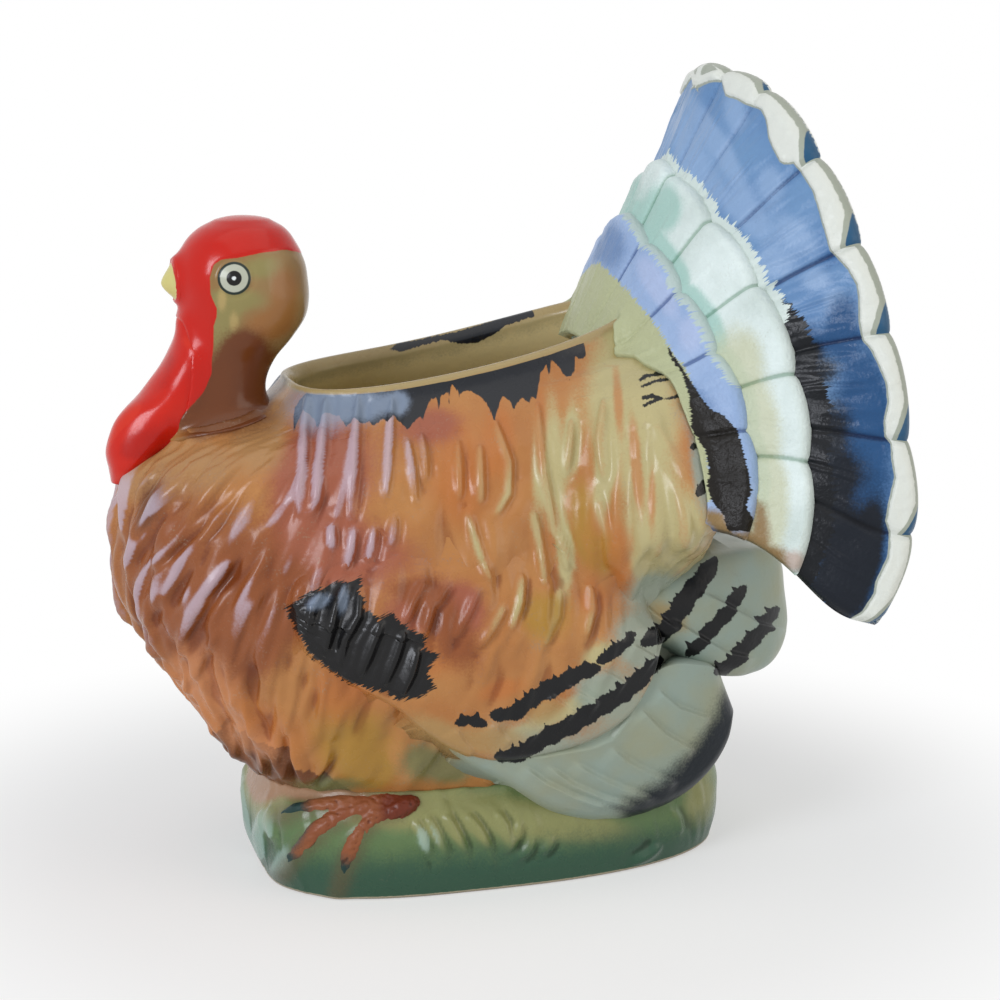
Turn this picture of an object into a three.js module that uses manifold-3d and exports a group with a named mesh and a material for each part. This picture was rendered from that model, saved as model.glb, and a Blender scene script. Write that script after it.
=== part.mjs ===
// Turkey planter: a slip-cast, painted and glazed bird. Its back is an open pot, its tail a spread fan.
// Millimetres, +Z up. The bird looks along -X, its tail stands at +X, and its foot ring rests on Z = 0.
import * as THREE from "three";
import Module from "manifold-3d";

const wasm = await Module();
wasm.setup();

// Sizes that several members share.
const slipJoint = 0.3; // seam that the slip fills where two members are luted together
const wall = 3.9;
const cutOverrun = 3;
const halvings = 24; // steps of a search by halves

// Pot: the breast, flanks and rump, open at the top and at the seat.
const breastReach = 82.5;
const rumpReach = 57;
const flankHalfWidth = 44.5;
const flankCentreX = -12;
const seatLevel = 22;
const rimLevel = 115;
const rimFrontX = -40;
const rimBackX = 36;
const rimBackRise = 14.8;
const flareReach = 27; // the flanks swell out by this to meet the tail
const flareStartX = 6;
const flareX = 42;
const rimRiseShares = { straight: 0.31, curved: 0.69, power: 1.2 };
const bodySquareness = { front: 2.35, back: 2.5, rim: 2.9 };
const potSides = 56; // an even count, because every other column is the hollow of a fold
const cavitySides = 32;
// Each ring: height between seat and rim, reach to the front and back, half width, flare.
const bodyRingShares = [
  [0, 0.606, 0.877, 0.674, 0],
  [0.086, 0.718, 0.947, 0.809, 0],
  [0.194, 0.8, 0.982, 0.899, 0],
  [0.323, 0.902, 1, 0.966, 0],
  [0.452, 0.98, 1, 1, 0.08],
  [0.53, 1, 1, 0.995, 0.5],
  [0.6, 1, 0.98, 0.985, 0.92],
  [0.71, 0.982, 0.947, 0.933, 0.88],
  [0.817, 0.921, 0.877, 0.843, 0.74],
  [0.871, 0.8, 0.825, 0.742, 0.72],
  [0.892, 0.691, 0.79, 0.708, 0.62],
  [0.914, 0.6, 0.75, 0.663, 0.42],
  [0.957, 0.539, 0.71, 0.596, 0.12],
  [1, 0.5, 0.672, 0.562, 0],
];

// Folds of the modelled feathers: every other column of the pot is sunk, and the rows take turns.
const foldDepth = 1.8;
const foldLeanDegrees = 50; // how far the columns creep round to the front on their way down
const foldEndX = 28;
const foldFadeX = 46;
// Each ring of the pot: height between seat and rim, and its folds. A minus swaps ridge and hollow.
const foldRingShares = [
  [0, 0],
  [0.086, 0.7],
  [0.18, 1],
  [0.27, -0.4],
  [0.355, -1],
  [0.452, -0.7],
  [0.53, 0.5],
  [0.6, 1],
  [0.68, 0.5],
  [0.763, -0.8],
  [0.817, -0.5],
  [0.871, 0],
  [0.892, 0],
  [0.914, 0],
  [0.957, 0],
  [1, 0],
];

// Grass mound under the bird: a cup with a floor, a foot ring and a ledge that the pot sits on.
const moundFrontReach = 46;
const moundBackReach = 64.3;
const moundHalfWidth = 34;
const moundCentreX = -5;
const moundSides = 40;
const moundTopLevel = 36;
const floorLevel = 5;
const footRingWidth = 6;
const footRecess = 1.5;
const moundBulge = 1.6;
const moundTopInset = 18;
const moundFloorShare = 0.86;
const moundSquareness = { front: 3.2, back: 2.5 };
// Each ring: height, and its way out from the foot line: bulge out, inset in.
const moundRingShares = [
  [0, 0, 0],
  [0.14, 0.75, 0],
  [0.28, 1, 0],
  [0.44, 0.9, 0],
  [0.58, 0.5, 0.08],
  [0.72, 0.1, 0.32],
  [0.86, 0, 0.62],
  [1, 0, 1],
];

// Head and neck: flat slices, each with its place along the bird and its half width.
const neckFootZ = 97;
const crownZ = 151.3;
const headBackX = -37.1;
const headLength = 32;
const headHalfWidth = 13.2;
const headSides = 24;
const crownCapShare = 0.4; // width of the crown's flat, of the slice under it
// Each slice: height from neck foot to crown, front edge, back edge, half width.
const headSliceShares = [
  [0, 1.13, 0.1, 1.2],
  [0.07, 1.07, 0.18, 1.07],
  [0.14, 0.98, 0.28, 0.9],
  [0.22, 0.93, 0.33, 0.77],
  [0.32, 0.91, 0.32, 0.71],
  [0.42, 0.89, 0.24, 0.74],
  [0.5, 0.875, 0.12, 0.85],
  [0.58, 0.88, 0.03, 0.95],
  [0.66, 0.905, 0, 1],
  [0.74, 0.93, 0.005, 1],
  [0.82, 0.92, 0.03, 0.95],
  [0.9, 0.85, 0.1, 0.82],
  [0.95, 0.76, 0.17, 0.65],
  [0.985, 0.65, 0.27, 0.4],
];

// Beak: a short blunt cone ahead of the face.
const beakLength = 6.4;
const beakDrop = 0.8;
const beakHalfHeight = 5.4;
const beakHalfWidth = 4.6;
const beakLevelShare = 0.75;
const beakSides = 14;
const beakSteps = 6;
const beakBuriedShare = 0.5; // part of its length that the face hides
const beakBluntShare = 0.98;
const beakSquareness = 1.5;

// Wattle: the red lobe that runs from the throat over the breast.
const wattleLength = 44;
const wattleHalfWidth = 8.4;
const wattleTopX = -62.5;
const wattleTopZ = 130;
const wattleSides = 20;
// Each slice: centre along and down, half thickness, lean of the slice in turns of a circle, half width.
const wattleSliceShares = [
  [-0.015, 0, 0.03, 0, 0.3],
  [-0.02, 0.027, 0.06, 0, 0.5],
  [-0.012, 0.114, 0.09, 0.039, 0.66],
  [-0.032, 0.195, 0.1, 0.022, 0.76],
  [-0.073, 0.295, 0.13, 0.015, 0.88],
  [-0.125, 0.405, 0.17, -0.005, 0.98],
  [-0.18, 0.5, 0.195, -0.026, 1.02],
  [-0.25, 0.6, 0.195, -0.026, 1],
  [-0.315, 0.686, 0.16, -0.005, 0.92],
  [-0.375, 0.768, 0.095, 0.03, 0.72],
  [-0.427, 0.848, 0.03, 0, 0.35],
];

// Wings: coverts over primaries, on each flank.
const wingLength = 103;
const wingHeight = 68;
const shoulderX = -51;
const wingLowZ = 17;
const wingHalfWidth = 46;
const wingCentreX = -4;
const wingReach = 77;
const wingTurnZ = 60;
const wingDrop = 62;
const covertThickness = 3.2;
const covertEdge = 1.1;
const covertStep = 1.6;
const covertScallop = 1.5;
const covertScallops = 6;
const covertScallopShares = { from: 0.25, to: 0.4 };
const covertRiseShare = 0.7; // way down the coverts where they are full thickness
const covertLapShare = 0.5; // way down the coverts where their lower feathers start
const covertSwell = 1.3; // how far the end of a feather stands over the root of the next
const covertStandOff = 13; // most that the coverts stand off the flank
const wingSquareness = { along: 2.6, down: 2.5 };
const wingRootY = 22;
const wingColumns = 24;
const wingRows = 7;
// Outlines run from the shoulder to the back, along the wing and up it.
const covertTopShares = [
  [0, 0.82],
  [0.05, 0.93],
  [0.2, 1],
  [0.42, 0.985],
  [0.61, 0.93],
  [0.76, 0.82],
  [0.815, 0.7],
];
const covertLowShares = [
  [0, 0.79],
  [0.04, 0.65],
  [0.13, 0.54],
  [0.22, 0.455],
  [0.29, 0.36],
  [0.37, 0.285],
  [0.46, 0.245],
  [0.56, 0.255],
  [0.66, 0.29],
  [0.74, 0.36],
  [0.79, 0.47],
  [0.82, 0.6],
];
const primaryTopShares = [
  [0.28, 0.39],
  [0.4, 0.37],
  [0.55, 0.38],
  [0.7, 0.44],
  [0.83, 0.52],
  [0.93, 0.5],
  [0.985, 0.46],
];
const primaryLowShares = [
  [0.29, 0.31],
  [0.4, 0.2],
  [0.5, 0.12],
  [0.62, 0.045],
  [0.75, 0.005],
  [0.86, 0.015],
  [0.935, 0.075],
  [1.005, 0.18],
  [1.02, 0.3],
];
const primaryFeathers = 7;
const primarySlantShares = { along: 0.35, down: 0.65 };
const primaryRimShare = 0.82; // way down the primaries where their edge starts to thin
const featherSwell = 0.7;

// Rump lobes: the feathers that stand out behind the wings, under the tail. They meet in the middle.
const lobeLength = 42;
const lobeHeight = 30;
const lobeOverhang = 14; // it stands out this far behind the rump
const lobeFrontX = rumpReach + lobeOverhang - lobeLength;
const lobeLowZ = 45;
const lobeHalfWidth = 40;
const lobeCentreX = lobeFrontX - lobeOverhang;
const lobeReach = 64;
const lobeSquareness = 2.4;
const lobeRollShare = 0.15; // how far its top and bottom edges turn in
const lobeRollSquareness = 2.6;
const lobeTopShares = [
  [0, 0.75],
  [0.3, 0.95],
  [0.62, 0.99],
  [0.88, 0.94],
  [1.03, 0.76],
];
const lobeLowShares = [
  [0, 0.45],
  [0.2, 0.28],
  [0.42, 0.06],
  [0.66, -0.04],
  [0.89, -0.05],
  [1.04, 0.08],
  [1.07, 0.36],
];
const lobeFeathers = 4;

// Tail: a fan of feathers on a leaning sheet whose halves sweep back, with two shorter rows on its face.
const tailRadius = 104;
const whiteRowRadius = 72;
const blueRowRadius = 58;
const tailHubX = 17.2;
const tailHubZ = 88.5;
const tailLeanDegrees = 23;
const tailSpreadDegrees = 103;
const tailRootSpreadDegrees = 94;
const tailBow = 100; // radius of each half's sweep in plan
const tailSweepDegrees = 15;
const tailRidgeSoftness = 8;
const tailThickness = 6.6;
const tailRootThickness = 10;
const tailRootRadius = 34;
const tailScallop = 1.4;
const tailEdgeRound = 3;
const tailSwell = 1.3;
const rowThickness = 2.6;
const rowScallop = 1.8;
const tailColumnsPerFeather = 4;
const tailRings = 5;
const tailWaistShare = 0.6; // radius where the fan starts to spread wider
const tailBevelShare = 0.6; // way out where its back starts to turn in
const normalStepShare = 0.002;
const tailThinShare = 0.9; // way out where its face starts to turn in
const tailRootEndShare = 0.8; // radius where its thick root ends
const tailFeatherShares = [0.05, 0.14, 0.29, 0.455, 0.61, 0.77, 0.89, 1];
const whiteFeatherShares = [0.06, 0.235, 0.44, 0.66, 0.83, 1];
const blueFeatherShares = [0.13, 0.335, 0.55, 0.77, 1];
// Outlines of the fan and its rows: share of the spread, share of the radius.
const tailEdgeShares = [
  [0, 0.993],
  [0.05, 0.989],
  [0.14, 0.977],
  [0.29, 0.92],
  [0.455, 0.882],
  [0.61, 0.886],
  [0.77, 0.936],
  [0.89, 1.014],
  [1, 1.048],
];
const whiteEdgeShares = [
  [0, 1.083],
  [0.22, 0.997],
  [0.44, 0.975],
  [0.64, 0.997],
  [0.8, 1.047],
  [1, 1.17],
];
const blueEdgeShares = [
  [0, 1.094],
  [0.22, 1.004],
  [0.44, 0.977],
  [0.64, 1.022],
  [0.8, 1.094],
  [1, 1.201],
];

// Feet: three toes from an ankle, laid over the front of the mound.
const toeRadius = 2.4;
const clawRadius = 1.2;
const ankleRadius = 3.6;
const toeSides = 8;
const toeSteps = 7;
const toeSink = 0.5;
const toeTaperShare = 0.55;
const knuckleSwell = 0.5;
const knuckleCount = 3;
const ankleSlopeShare = 0.5;
// The ankle's knob: place along it and size, of the ankle's radius.
const ankleSliceShares = [
  [-1, 0.5],
  [-0.5, 0.87],
  [0, 1],
  [0.5, 0.87],
  [1, 0.5],
];
const ankle = { angleDegrees: 106, heightShare: 0.6 };
// Each toe's claw: angle round the mound in degrees from the tail, height on the mound.
const clawPlaces = [
  { angleDegrees: 160, heightShare: 0.47 },
  { angleDegrees: 153, heightShare: 0.14 },
  { angleDegrees: 129, heightShare: 0.1 },
];

const degree = Math.PI / 180;
const lean = tailLeanDegrees * degree;
const sweep = tailSweepDegrees * degree;

// A smooth value from a table whose first column rises.
function readTable(rows, at, column) {
  const last = rows.length - 1;
  if (at <= rows[0][0]) return rows[0][column];
  if (at >= rows[last][0]) return rows[last][column];
  const i = rows.findIndex((row) => row[0] > at) - 1;
  const slope = (k) => {
    const a = rows[Math.max(k - 1, 0)];
    const b = rows[Math.min(k + 1, last)];
    return (b[column] - a[column]) / (b[0] - a[0]);
  };
  const span = rows[i + 1][0] - rows[i][0];
  const t = (at - rows[i][0]) / span;
  const keep = (1 + 2 * t) * (1 - t) ** 2;
  const start = slope(i) * span * t * (1 - t) ** 2;
  const end = slope(i + 1) * span * t * t * (t - 1);
  return keep * rows[i][column] + (1 - keep) * rows[i + 1][column] + start + end;
}

function smoothStep(from, to, at) {
  const t = THREE.MathUtils.clamp((at - from) / (to - from), 0, 1);
  return t * t * (3 - 2 * t);
}

// The half width of a squared oval at a place from -1 to 1 along it.
function ovalHeight(t, squareness) {
  const inside = 1 - Math.abs(t) ** squareness;
  return inside > 0 ? inside ** (1 / squareness) : 0;
}

// A point of a squared oval at an angle.
function ovalPoint(angle, squareness) {
  const c = Math.cos(angle);
  const s = Math.sin(angle);
  const power = 2 / squareness;
  return [Math.sign(c) * Math.abs(c) ** power, Math.sign(s) * Math.abs(s) ** power];
}

function solidOf(points, faces) {
  const flat = new Float32Array(points.flatMap((p) => [p.x, p.y, p.z]));
  const make = (list) =>
    new wasm.Manifold(
      new wasm.Mesh({ numProp: 3, vertProperties: flat, triVerts: new Uint32Array(list.flat()) }),
    );
  const made = make(faces);
  return made.volume() > 0 ? made : make(faces.map(([a, b, c]) => [a, c, b]));
}

function middleOf(points) {
  const sum = points.reduce((total, p) => total.add(p), new THREE.Vector3());
  return sum.divideScalar(points.length);
}

// A solid through closed rings of points, shut at both ends.
function loft(rings) {
  const sides = rings[0].length;
  const points = rings.flat();
  const faces = [];
  const quad = (a, b, c, d) => faces.push([a, b, c], [a, c, d]);
  for (let r = 0; r + 1 < rings.length; r++)
    for (let s = 0; s < sides; s++) {
      const a = r * sides + s;
      const b = r * sides + ((s + 1) % sides);
      quad(a, b, b + sides, a + sides);
    }
  const firstMiddle = points.push(middleOf(rings[0])) - 1;
  const lastMiddle = points.push(middleOf(rings[rings.length - 1])) - 1;
  const lastStart = (rings.length - 1) * sides;
  for (let s = 0; s < sides; s++) {
    const next = (s + 1) % sides;
    faces.push([next, s, firstMiddle]);
    faces.push([lastStart + s, lastStart + next, lastMiddle]);
  }
  return solidOf(points, faces);
}

// A solid between two sheets of points, each a list of rows.
function slab(front, back) {
  const rows = front.length;
  const columns = front[0].length;
  const points = [...front.flat(), ...back.flat()];
  const faces = [];
  const quad = (a, b, c, d) => faces.push([a, b, c], [a, c, d]);
  const far = rows * columns;
  const at = (r, c) => r * columns + c;
  for (let r = 0; r + 1 < rows; r++)
    for (let c = 0; c + 1 < columns; c++) {
      quad(at(r, c), at(r, c + 1), at(r + 1, c + 1), at(r + 1, c));
      quad(far + at(r, c), far + at(r + 1, c), far + at(r + 1, c + 1), far + at(r, c + 1));
    }
  for (let r = 0; r + 1 < rows; r++) {
    quad(at(r, 0), at(r + 1, 0), far + at(r + 1, 0), far + at(r, 0));
    const c = columns - 1;
    quad(at(r + 1, c), at(r, c), far + at(r, c), far + at(r + 1, c));
  }
  for (let c = 0; c + 1 < columns; c++) {
    quad(at(0, c + 1), at(0, c), far + at(0, c), far + at(0, c + 1));
    const r = rows - 1;
    quad(at(r, c), at(r, c + 1), far + at(r, c + 1), far + at(r, c));
  }
  return solidOf(points, faces);
}

// Rings moved along the surface's own normal, by a distance for each ring and column.
function offsetRings(rings, distanceAt) {
  const sides = rings[0].length;
  return rings.map((ring, r) => {
    const below = rings[Math.max(r - 1, 0)];
    const above = rings[Math.min(r + 1, rings.length - 1)];
    return ring.map((point, s) => {
      const along = ring[(s + 1) % sides].clone().sub(ring[(s + sides - 1) % sides]);
      const up = above[s].clone().sub(below[s]);
      return point.clone().addScaledVector(along.cross(up).normalize(), distanceAt(r, s));
    });
  });
}

function raisedRing(ring, height) {
  return ring.map((p) => new THREE.Vector3(p.x, p.y, p.z + height));
}

// Pot surface.
function bodyRow(share) {
  return [1, 2, 3, 4].map((column) => readTable(bodyRingShares, share, column));
}

function rimRise(x) {
  const u = Math.max(0, (x - rimFrontX) / (rimBackX - rimFrontX));
  return rimBackRise * (rimRiseShares.straight * u + rimRiseShares.curved * u * u);
}

function bodyHeight(share, x) {
  return seatLevel + share * (rimLevel - seatLevel) + rimRise(x) * share ** rimRiseShares.power;
}

function bodySquarenessAt(share, behind) {
  const low = behind ? bodySquareness.back : bodySquareness.front;
  return THREE.MathUtils.lerp(low, bodySquareness.rim, share ** 4);
}

// How far the flank swells at x so that it runs into the tail.
function flareAt(x, backX) {
  return smoothStep(flareStartX, flareX, x) * (1 - smoothStep(flareX, backX, x));
}

// Where a column stands at a height: it leans forward on its way down, most at the breast's sides.
function columnAngle(turn, share) {
  const angle = turn * 2 * Math.PI;
  const sideways = (Math.sin(angle) * (1 - Math.cos(angle))) / 2;
  return angle + foldLeanDegrees * degree * sideways * (0.5 - share);
}

function bodyRing(share, sides, flared) {
  const [front, back, width, flare] = bodyRow(share);
  const frontReach = breastReach * front + flankCentreX;
  const backReach = rumpReach * back - flankCentreX;
  return Array.from({ length: sides }, (_, i) => {
    const angle = columnAngle(i / sides, share);
    const behind = Math.cos(angle) > 0;
    const [along, across] = ovalPoint(angle, bodySquarenessAt(share, behind));
    const x = flankCentreX + along * (behind ? backReach : frontReach);
    const swell = flared ? flareReach * flare * flareAt(x, flankCentreX + backReach) : 0;
    const y = across * flankHalfWidth * width + Math.sign(across) * swell * Math.abs(across) ** 0.5;
    return new THREE.Vector3(x, y, bodyHeight(share, x));
  });
}

// The pot's outside, with its columns sunk in turns. The folds die out towards the tail.
function foldedRings() {
  const plain = foldRingShares.map((row) => bodyRing(row[0], potSides, true));
  return offsetRings(plain, (r, s) => {
    const fold = foldRingShares[r][1] * (1 - smoothStep(foldEndX, foldFadeX, plain[r][s].x));
    const turn = s % 2 === 0 ? 1 : -1;
    return (-foldDepth * (Math.abs(fold) - turn * fold)) / 2;
  });
}

// The pot's half width at a place on its side, for what lies on the flank.
function bodyHalfWidthAt(x, z) {
  let low = 0;
  let high = 1;
  for (let step = 0; step < halvings; step++) {
    const middle = (low + high) / 2;
    if (bodyHeight(middle, x) < z) low = middle;
    else high = middle;
  }
  const [front, back, width, flare] = bodyRow(low);
  const behind = x > flankCentreX;
  const reach = behind ? rumpReach * back - flankCentreX : breastReach * front + flankCentreX;
  const across = ovalHeight((x - flankCentreX) / reach, bodySquarenessAt(low, behind));
  const swell = flareReach * flare * flareAt(x, flankCentreX + reach) * across ** 0.5;
  return flankHalfWidth * width * across + (behind ? swell : 0);
}

const bodyOuter = foldedRings();
const bodyOuterSolid = loft(bodyOuter);
const bodySeatCutter = (() => {
  const grown = offsetRings(bodyOuter, () => slipJoint);
  const foot = raisedRing(grown[0], -slipJoint);
  return loft([foot, ...grown]);
})();
const cavityRings = (() => {
  const plain = bodyRingShares.map((row) => bodyRing(row[0], cavitySides, false));
  return offsetRings(plain, () => -wall);
})();

function makePot() {
  const low = raisedRing(cavityRings[0], -cutOverrun);
  const high = raisedRing(cavityRings[cavityRings.length - 1], cutOverrun);
  return bodyOuterSolid.subtract(loft([low, ...cavityRings, high]));
}

// Mound surface.
function moundRing(heightShare, extra) {
  const bulge = moundBulge * readTable(moundRingShares, heightShare, 1);
  const inset = moundTopInset * readTable(moundRingShares, heightShare, 2);
  const out = bulge - inset + extra;
  return Array.from({ length: moundSides }, (_, i) =>
    moundPoint((i / moundSides) * 2 * Math.PI, heightShare, out),
  );
}

function moundPoint(angle, heightShare, out) {
  const behind = Math.cos(angle) > 0;
  const [along, across] = ovalPoint(angle, behind ? moundSquareness.back : moundSquareness.front);
  const reach = behind ? moundBackReach : moundFrontReach;
  const x = moundCentreX + along * (reach + out);
  return new THREE.Vector3(x, across * (moundHalfWidth + out), heightShare * moundTopLevel);
}

function moundRings(extra) {
  return moundRingShares.map((row) => moundRing(row[0], extra));
}

const moundCutter = (() => {
  const grown = moundRings(slipJoint);
  return loft([...grown, raisedRing(grown[grown.length - 1], slipJoint)]);
})();

function makeMound() {
  const seat = cavityRings[0];
  const middle = middleOf(seat);
  const floor = seat.map((p) => {
    const x = THREE.MathUtils.lerp(middle.x, p.x, moundFloorShare);
    return new THREE.Vector3(x, p.y * moundFloorShare, floorLevel);
  });
  const cavity = loft([floor, seat, raisedRing(seat, cutOverrun)]);
  const recessRing = moundRing(0, -footRingWidth);
  const recess = loft([raisedRing(recessRing, -cutOverrun), raisedRing(recessRing, footRecess)]);
  return loft(moundRings(0)).subtract(bodySeatCutter).subtract(cavity).subtract(recess);
}

// Head surface.
function headRing(row, extra) {
  const [heightShare, front, back, width] = row;
  const z = THREE.MathUtils.lerp(neckFootZ, crownZ, heightShare);
  const centreX = headBackX - (headLength * (front + back)) / 2;
  const reach = (headLength * (front - back)) / 2 + extra;
  return Array.from({ length: headSides }, (_, i) => {
    const angle = (i / headSides) * 2 * Math.PI;
    const y = Math.sin(angle) * (headHalfWidth * width + extra);
    return new THREE.Vector3(centreX + reach * Math.cos(angle), y, z);
  });
}

function headSolid(extra) {
  const rings = headSliceShares.map((row) => headRing(row, extra));
  const top = headSliceShares[headSliceShares.length - 1];
  const crown = headRing(top, extra).map((p) => p.lerp(middleOf(headRing(top, extra)), 1 - crownCapShare));
  rings.push(raisedRing(crown, (crownZ - neckFootZ) * (1 - top[0]) + extra));
  return loft(rings);
}

const headCutter = headSolid(slipJoint);

function makeHead() {
  return headSolid(0).subtract(bodySeatCutter);
}

function wattleSolid(extra) {
  const rings = wattleSliceShares.map(([along, down, thick, turn, width]) => {
    const centre = new THREE.Vector3(
      wattleTopX + along * wattleLength,
      0,
      wattleTopZ - down * wattleLength,
    );
    const tilt = turn * 2 * Math.PI;
    return Array.from({ length: wattleSides }, (_, i) => {
      const angle = (i / wattleSides) * 2 * Math.PI;
      const reach = Math.cos(angle) * (thick * wattleLength + extra);
      const offset = new THREE.Vector3(
        reach * Math.cos(tilt),
        Math.sin(angle) * (wattleHalfWidth * width + extra),
        reach * Math.sin(tilt),
      );
      return offset.add(centre);
    });
  });
  return loft(rings);
}

function makeWattle() {
  return wattleSolid(0).subtract(headCutter).subtract(bodySeatCutter);
}

function makeBeak() {
  const z = THREE.MathUtils.lerp(neckFootZ, crownZ, beakLevelShare);
  const faceX = headBackX - headLength * readTable(headSliceShares, beakLevelShare, 1);
  const rings = Array.from({ length: beakSteps + 1 }, (_, k) => {
    const t = k / beakSteps;
    const size = ovalHeight(t * beakBluntShare, beakSquareness);
    return Array.from({ length: beakSides }, (_, i) => {
      const angle = (i / beakSides) * 2 * Math.PI;
      return new THREE.Vector3(
        faceX - beakLength * (t - beakBuriedShare),
        beakHalfWidth * size * Math.sin(angle),
        z - beakDrop * t * t + beakHalfHeight * size * Math.cos(angle),
      );
    });
  });
  return loft(rings).subtract(headCutter).subtract(wattleSolid(slipJoint));
}

// Wing surfaces. Places on the wing are shares along it and up it.
function wingPlace([along, up]) {
  return [shoulderX + along * wingLength, wingLowZ + up * wingHeight];
}

function outlinePoint(outline, t) {
  const at = t * (outline.length - 1);
  const rows = outline.map((place, i) => [i, ...place]);
  return [readTable(rows, at, 1), readTable(rows, at, 2)];
}

function wingBulge(x, z) {
  const along = ovalHeight((x - wingCentreX) / wingReach, wingSquareness.along);
  const down = ovalHeight(Math.max(0, (wingTurnZ - z) / wingDrop), wingSquareness.down);
  return wingHalfWidth * along * down;
}

// A plate on the left flank, between two outlines, with its face at faceY(x, z, t, v), grown all round.
function flankPlate(top, low, columns, place, faceY, rootY, grow) {
  const front = [];
  const back = [];
  for (let r = 0; r < wingRows; r++) {
    const v = r / (wingRows - 1);
    const faceRow = [];
    const rootRow = [];
    for (let c = 0; c <= columns; c++) {
      const t = c / columns;
      const upper = place(outlinePoint(top, t));
      const lower = low(t);
      const x = THREE.MathUtils.lerp(upper[0], lower[0], v) + grow * (2 * t - 1);
      const z = THREE.MathUtils.lerp(upper[1], lower[1], v) + grow * (1 - 2 * v);
      faceRow.push(new THREE.Vector3(x, -faceY(x, z, t, v) - grow, z));
      rootRow.push(new THREE.Vector3(x, -rootY, z));
    }
    front.push(faceRow);
    back.push(rootRow);
  }
  return slab(front, back);
}

// Lower edge of the coverts, with a scallop for each feather behind the shoulder.
function covertLow(t) {
  const [along, up] = outlinePoint(covertLowShares, t);
  const [x, z] = wingPlace([along, up]);
  const feathered = smoothStep(covertScallopShares.from, covertScallopShares.to, t);
  const wave = Math.abs(Math.sin(Math.PI * covertScallops * t));
  return [x, z - covertScallop * feathered * wave];
}

// How full the coverts are: two rows of feathers, each domed, rising to its end, and half a feather apart.
function covertFullness(t, v) {
  const lower = v > covertLapShare;
  const down = lower ? (v - covertLapShare) / (1 - covertLapShare) : v / covertLapShare;
  const across = Math.abs(Math.sin(Math.PI * (covertScallops * t + (lower ? 0 : 0.5))));
  return down * across ** 0.5;
}

function covertFace(x, z, t, v) {
  const rise = covertEdge + (covertThickness - covertEdge) * smoothStep(0, covertRiseShare, v);
  const flank = bodyHalfWidthAt(x, z) + rise + covertSwell * (covertFullness(t, v) - v);
  const bulge = wingBulge(x, z) + covertStep;
  return Math.max(flank, Math.min(bulge, flank + covertStandOff));
}

function covertSolid(grow) {
  const root = wingRootY;
  return flankPlate(covertTopShares, covertLow, wingColumns, wingPlace, covertFace, root, grow);
}

function primaryFace(x, z, t, v) {
  const place = primarySlantShares.along * t + primarySlantShares.down * v;
  const feather = Math.abs(Math.sin(Math.PI * primaryFeathers * place));
  const swell = featherSwell * feather ** 0.5;
  const rim = 1 - smoothStep(primaryRimShare, 1, v);
  return wingBulge(x, z) - featherSwell + swell * rim;
}

function lobePlace([along, up]) {
  return [lobeFrontX + along * lobeLength, lobeLowZ + up * lobeHeight];
}

function lobeFace(x, z, t, v) {
  const round = ovalHeight((x - lobeCentreX) / lobeReach, lobeSquareness);
  const roll = 1 - lobeRollShare * (1 - ovalHeight(2 * v - 1, lobeRollSquareness));
  const feather = Math.abs(Math.sin(Math.PI * lobeFeathers * v));
  return lobeHalfWidth * round * roll + featherSwell * (feather ** 0.5 - 1);
}

function lobeSolid(grow) {
  const low = (t) => lobePlace(outlinePoint(lobeLowShares, t));
  const columns = wingColumns / 2;
  return flankPlate(lobeTopShares, low, columns, lobePlace, lobeFace, slipJoint / 2, grow);
}

// Pieces in pairs are drawn on the left, and the right-hand one is turned over before it is seated.
function onSide(solid, side) {
  return side === "left" ? solid : solid.mirror([0, 1, 0]);
}

function makeCoverts(side) {
  return onSide(covertSolid(0), side).subtract(bodySeatCutter).subtract(moundCutter);
}

function makePrimaries(side) {
  const low = (t) => wingPlace(outlinePoint(primaryLowShares, t));
  const face = primaryFace;
  const plate = flankPlate(primaryTopShares, low, wingColumns, wingPlace, face, wingRootY, 0);
  const over = onSide(covertSolid(slipJoint).add(lobeSolid(slipJoint)), side);
  return onSide(plate, side).subtract(bodySeatCutter).subtract(moundCutter).subtract(over);
}

function makeLobe(side) {
  const coverts = onSide(covertSolid(slipJoint), side);
  const lobe = onSide(lobeSolid(0), side);
  return lobe.subtract(bodySeatCutter).subtract(coverts).subtract(tailCutter);
}

// Tail sheet: radius and angle from the hub, raised from the sheet along its normal towards the front.
function tailSheet(radius, angle) {
  const along = radius * Math.cos(angle);
  const across = radius * Math.sin(angle);
  const soft = Math.hypot(across, tailRidgeSoftness) - tailRidgeSoftness;
  const x = tailBow * (Math.cos(sweep) - Math.cos(sweep + soft / tailBow));
  const y = tailBow * (Math.sin(sweep + Math.abs(across) / tailBow) - Math.sin(sweep));
  return new THREE.Vector3(
    tailHubX + along * Math.sin(lean) + x,
    Math.sign(across) * y,
    tailHubZ + along * Math.cos(lean),
  );
}

function tailPoint(radius, angle, raise) {
  const nudge = tailRadius * normalStepShare;
  const turn = nudge / tailRadius;
  const out = tailSheet(radius + nudge, angle).sub(tailSheet(radius - nudge, angle));
  const round = tailSheet(radius, angle + turn).sub(tailSheet(radius, angle - turn));
  const normal = out.cross(round).normalize();
  return tailSheet(radius, angle).addScaledVector(normal, raise);
}

// Feather edges on both sides of the middle feather, as shares of the half spread.
function bothSides(shares) {
  return [...shares.map((s) => -s).reverse(), ...shares];
}

function tailSpreadAt(radius) {
  const widening = smoothStep(tailWaistShare * tailRadius, tailRadius, radius);
  return THREE.MathUtils.lerp(tailRootSpreadDegrees, tailSpreadDegrees, widening);
}

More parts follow.
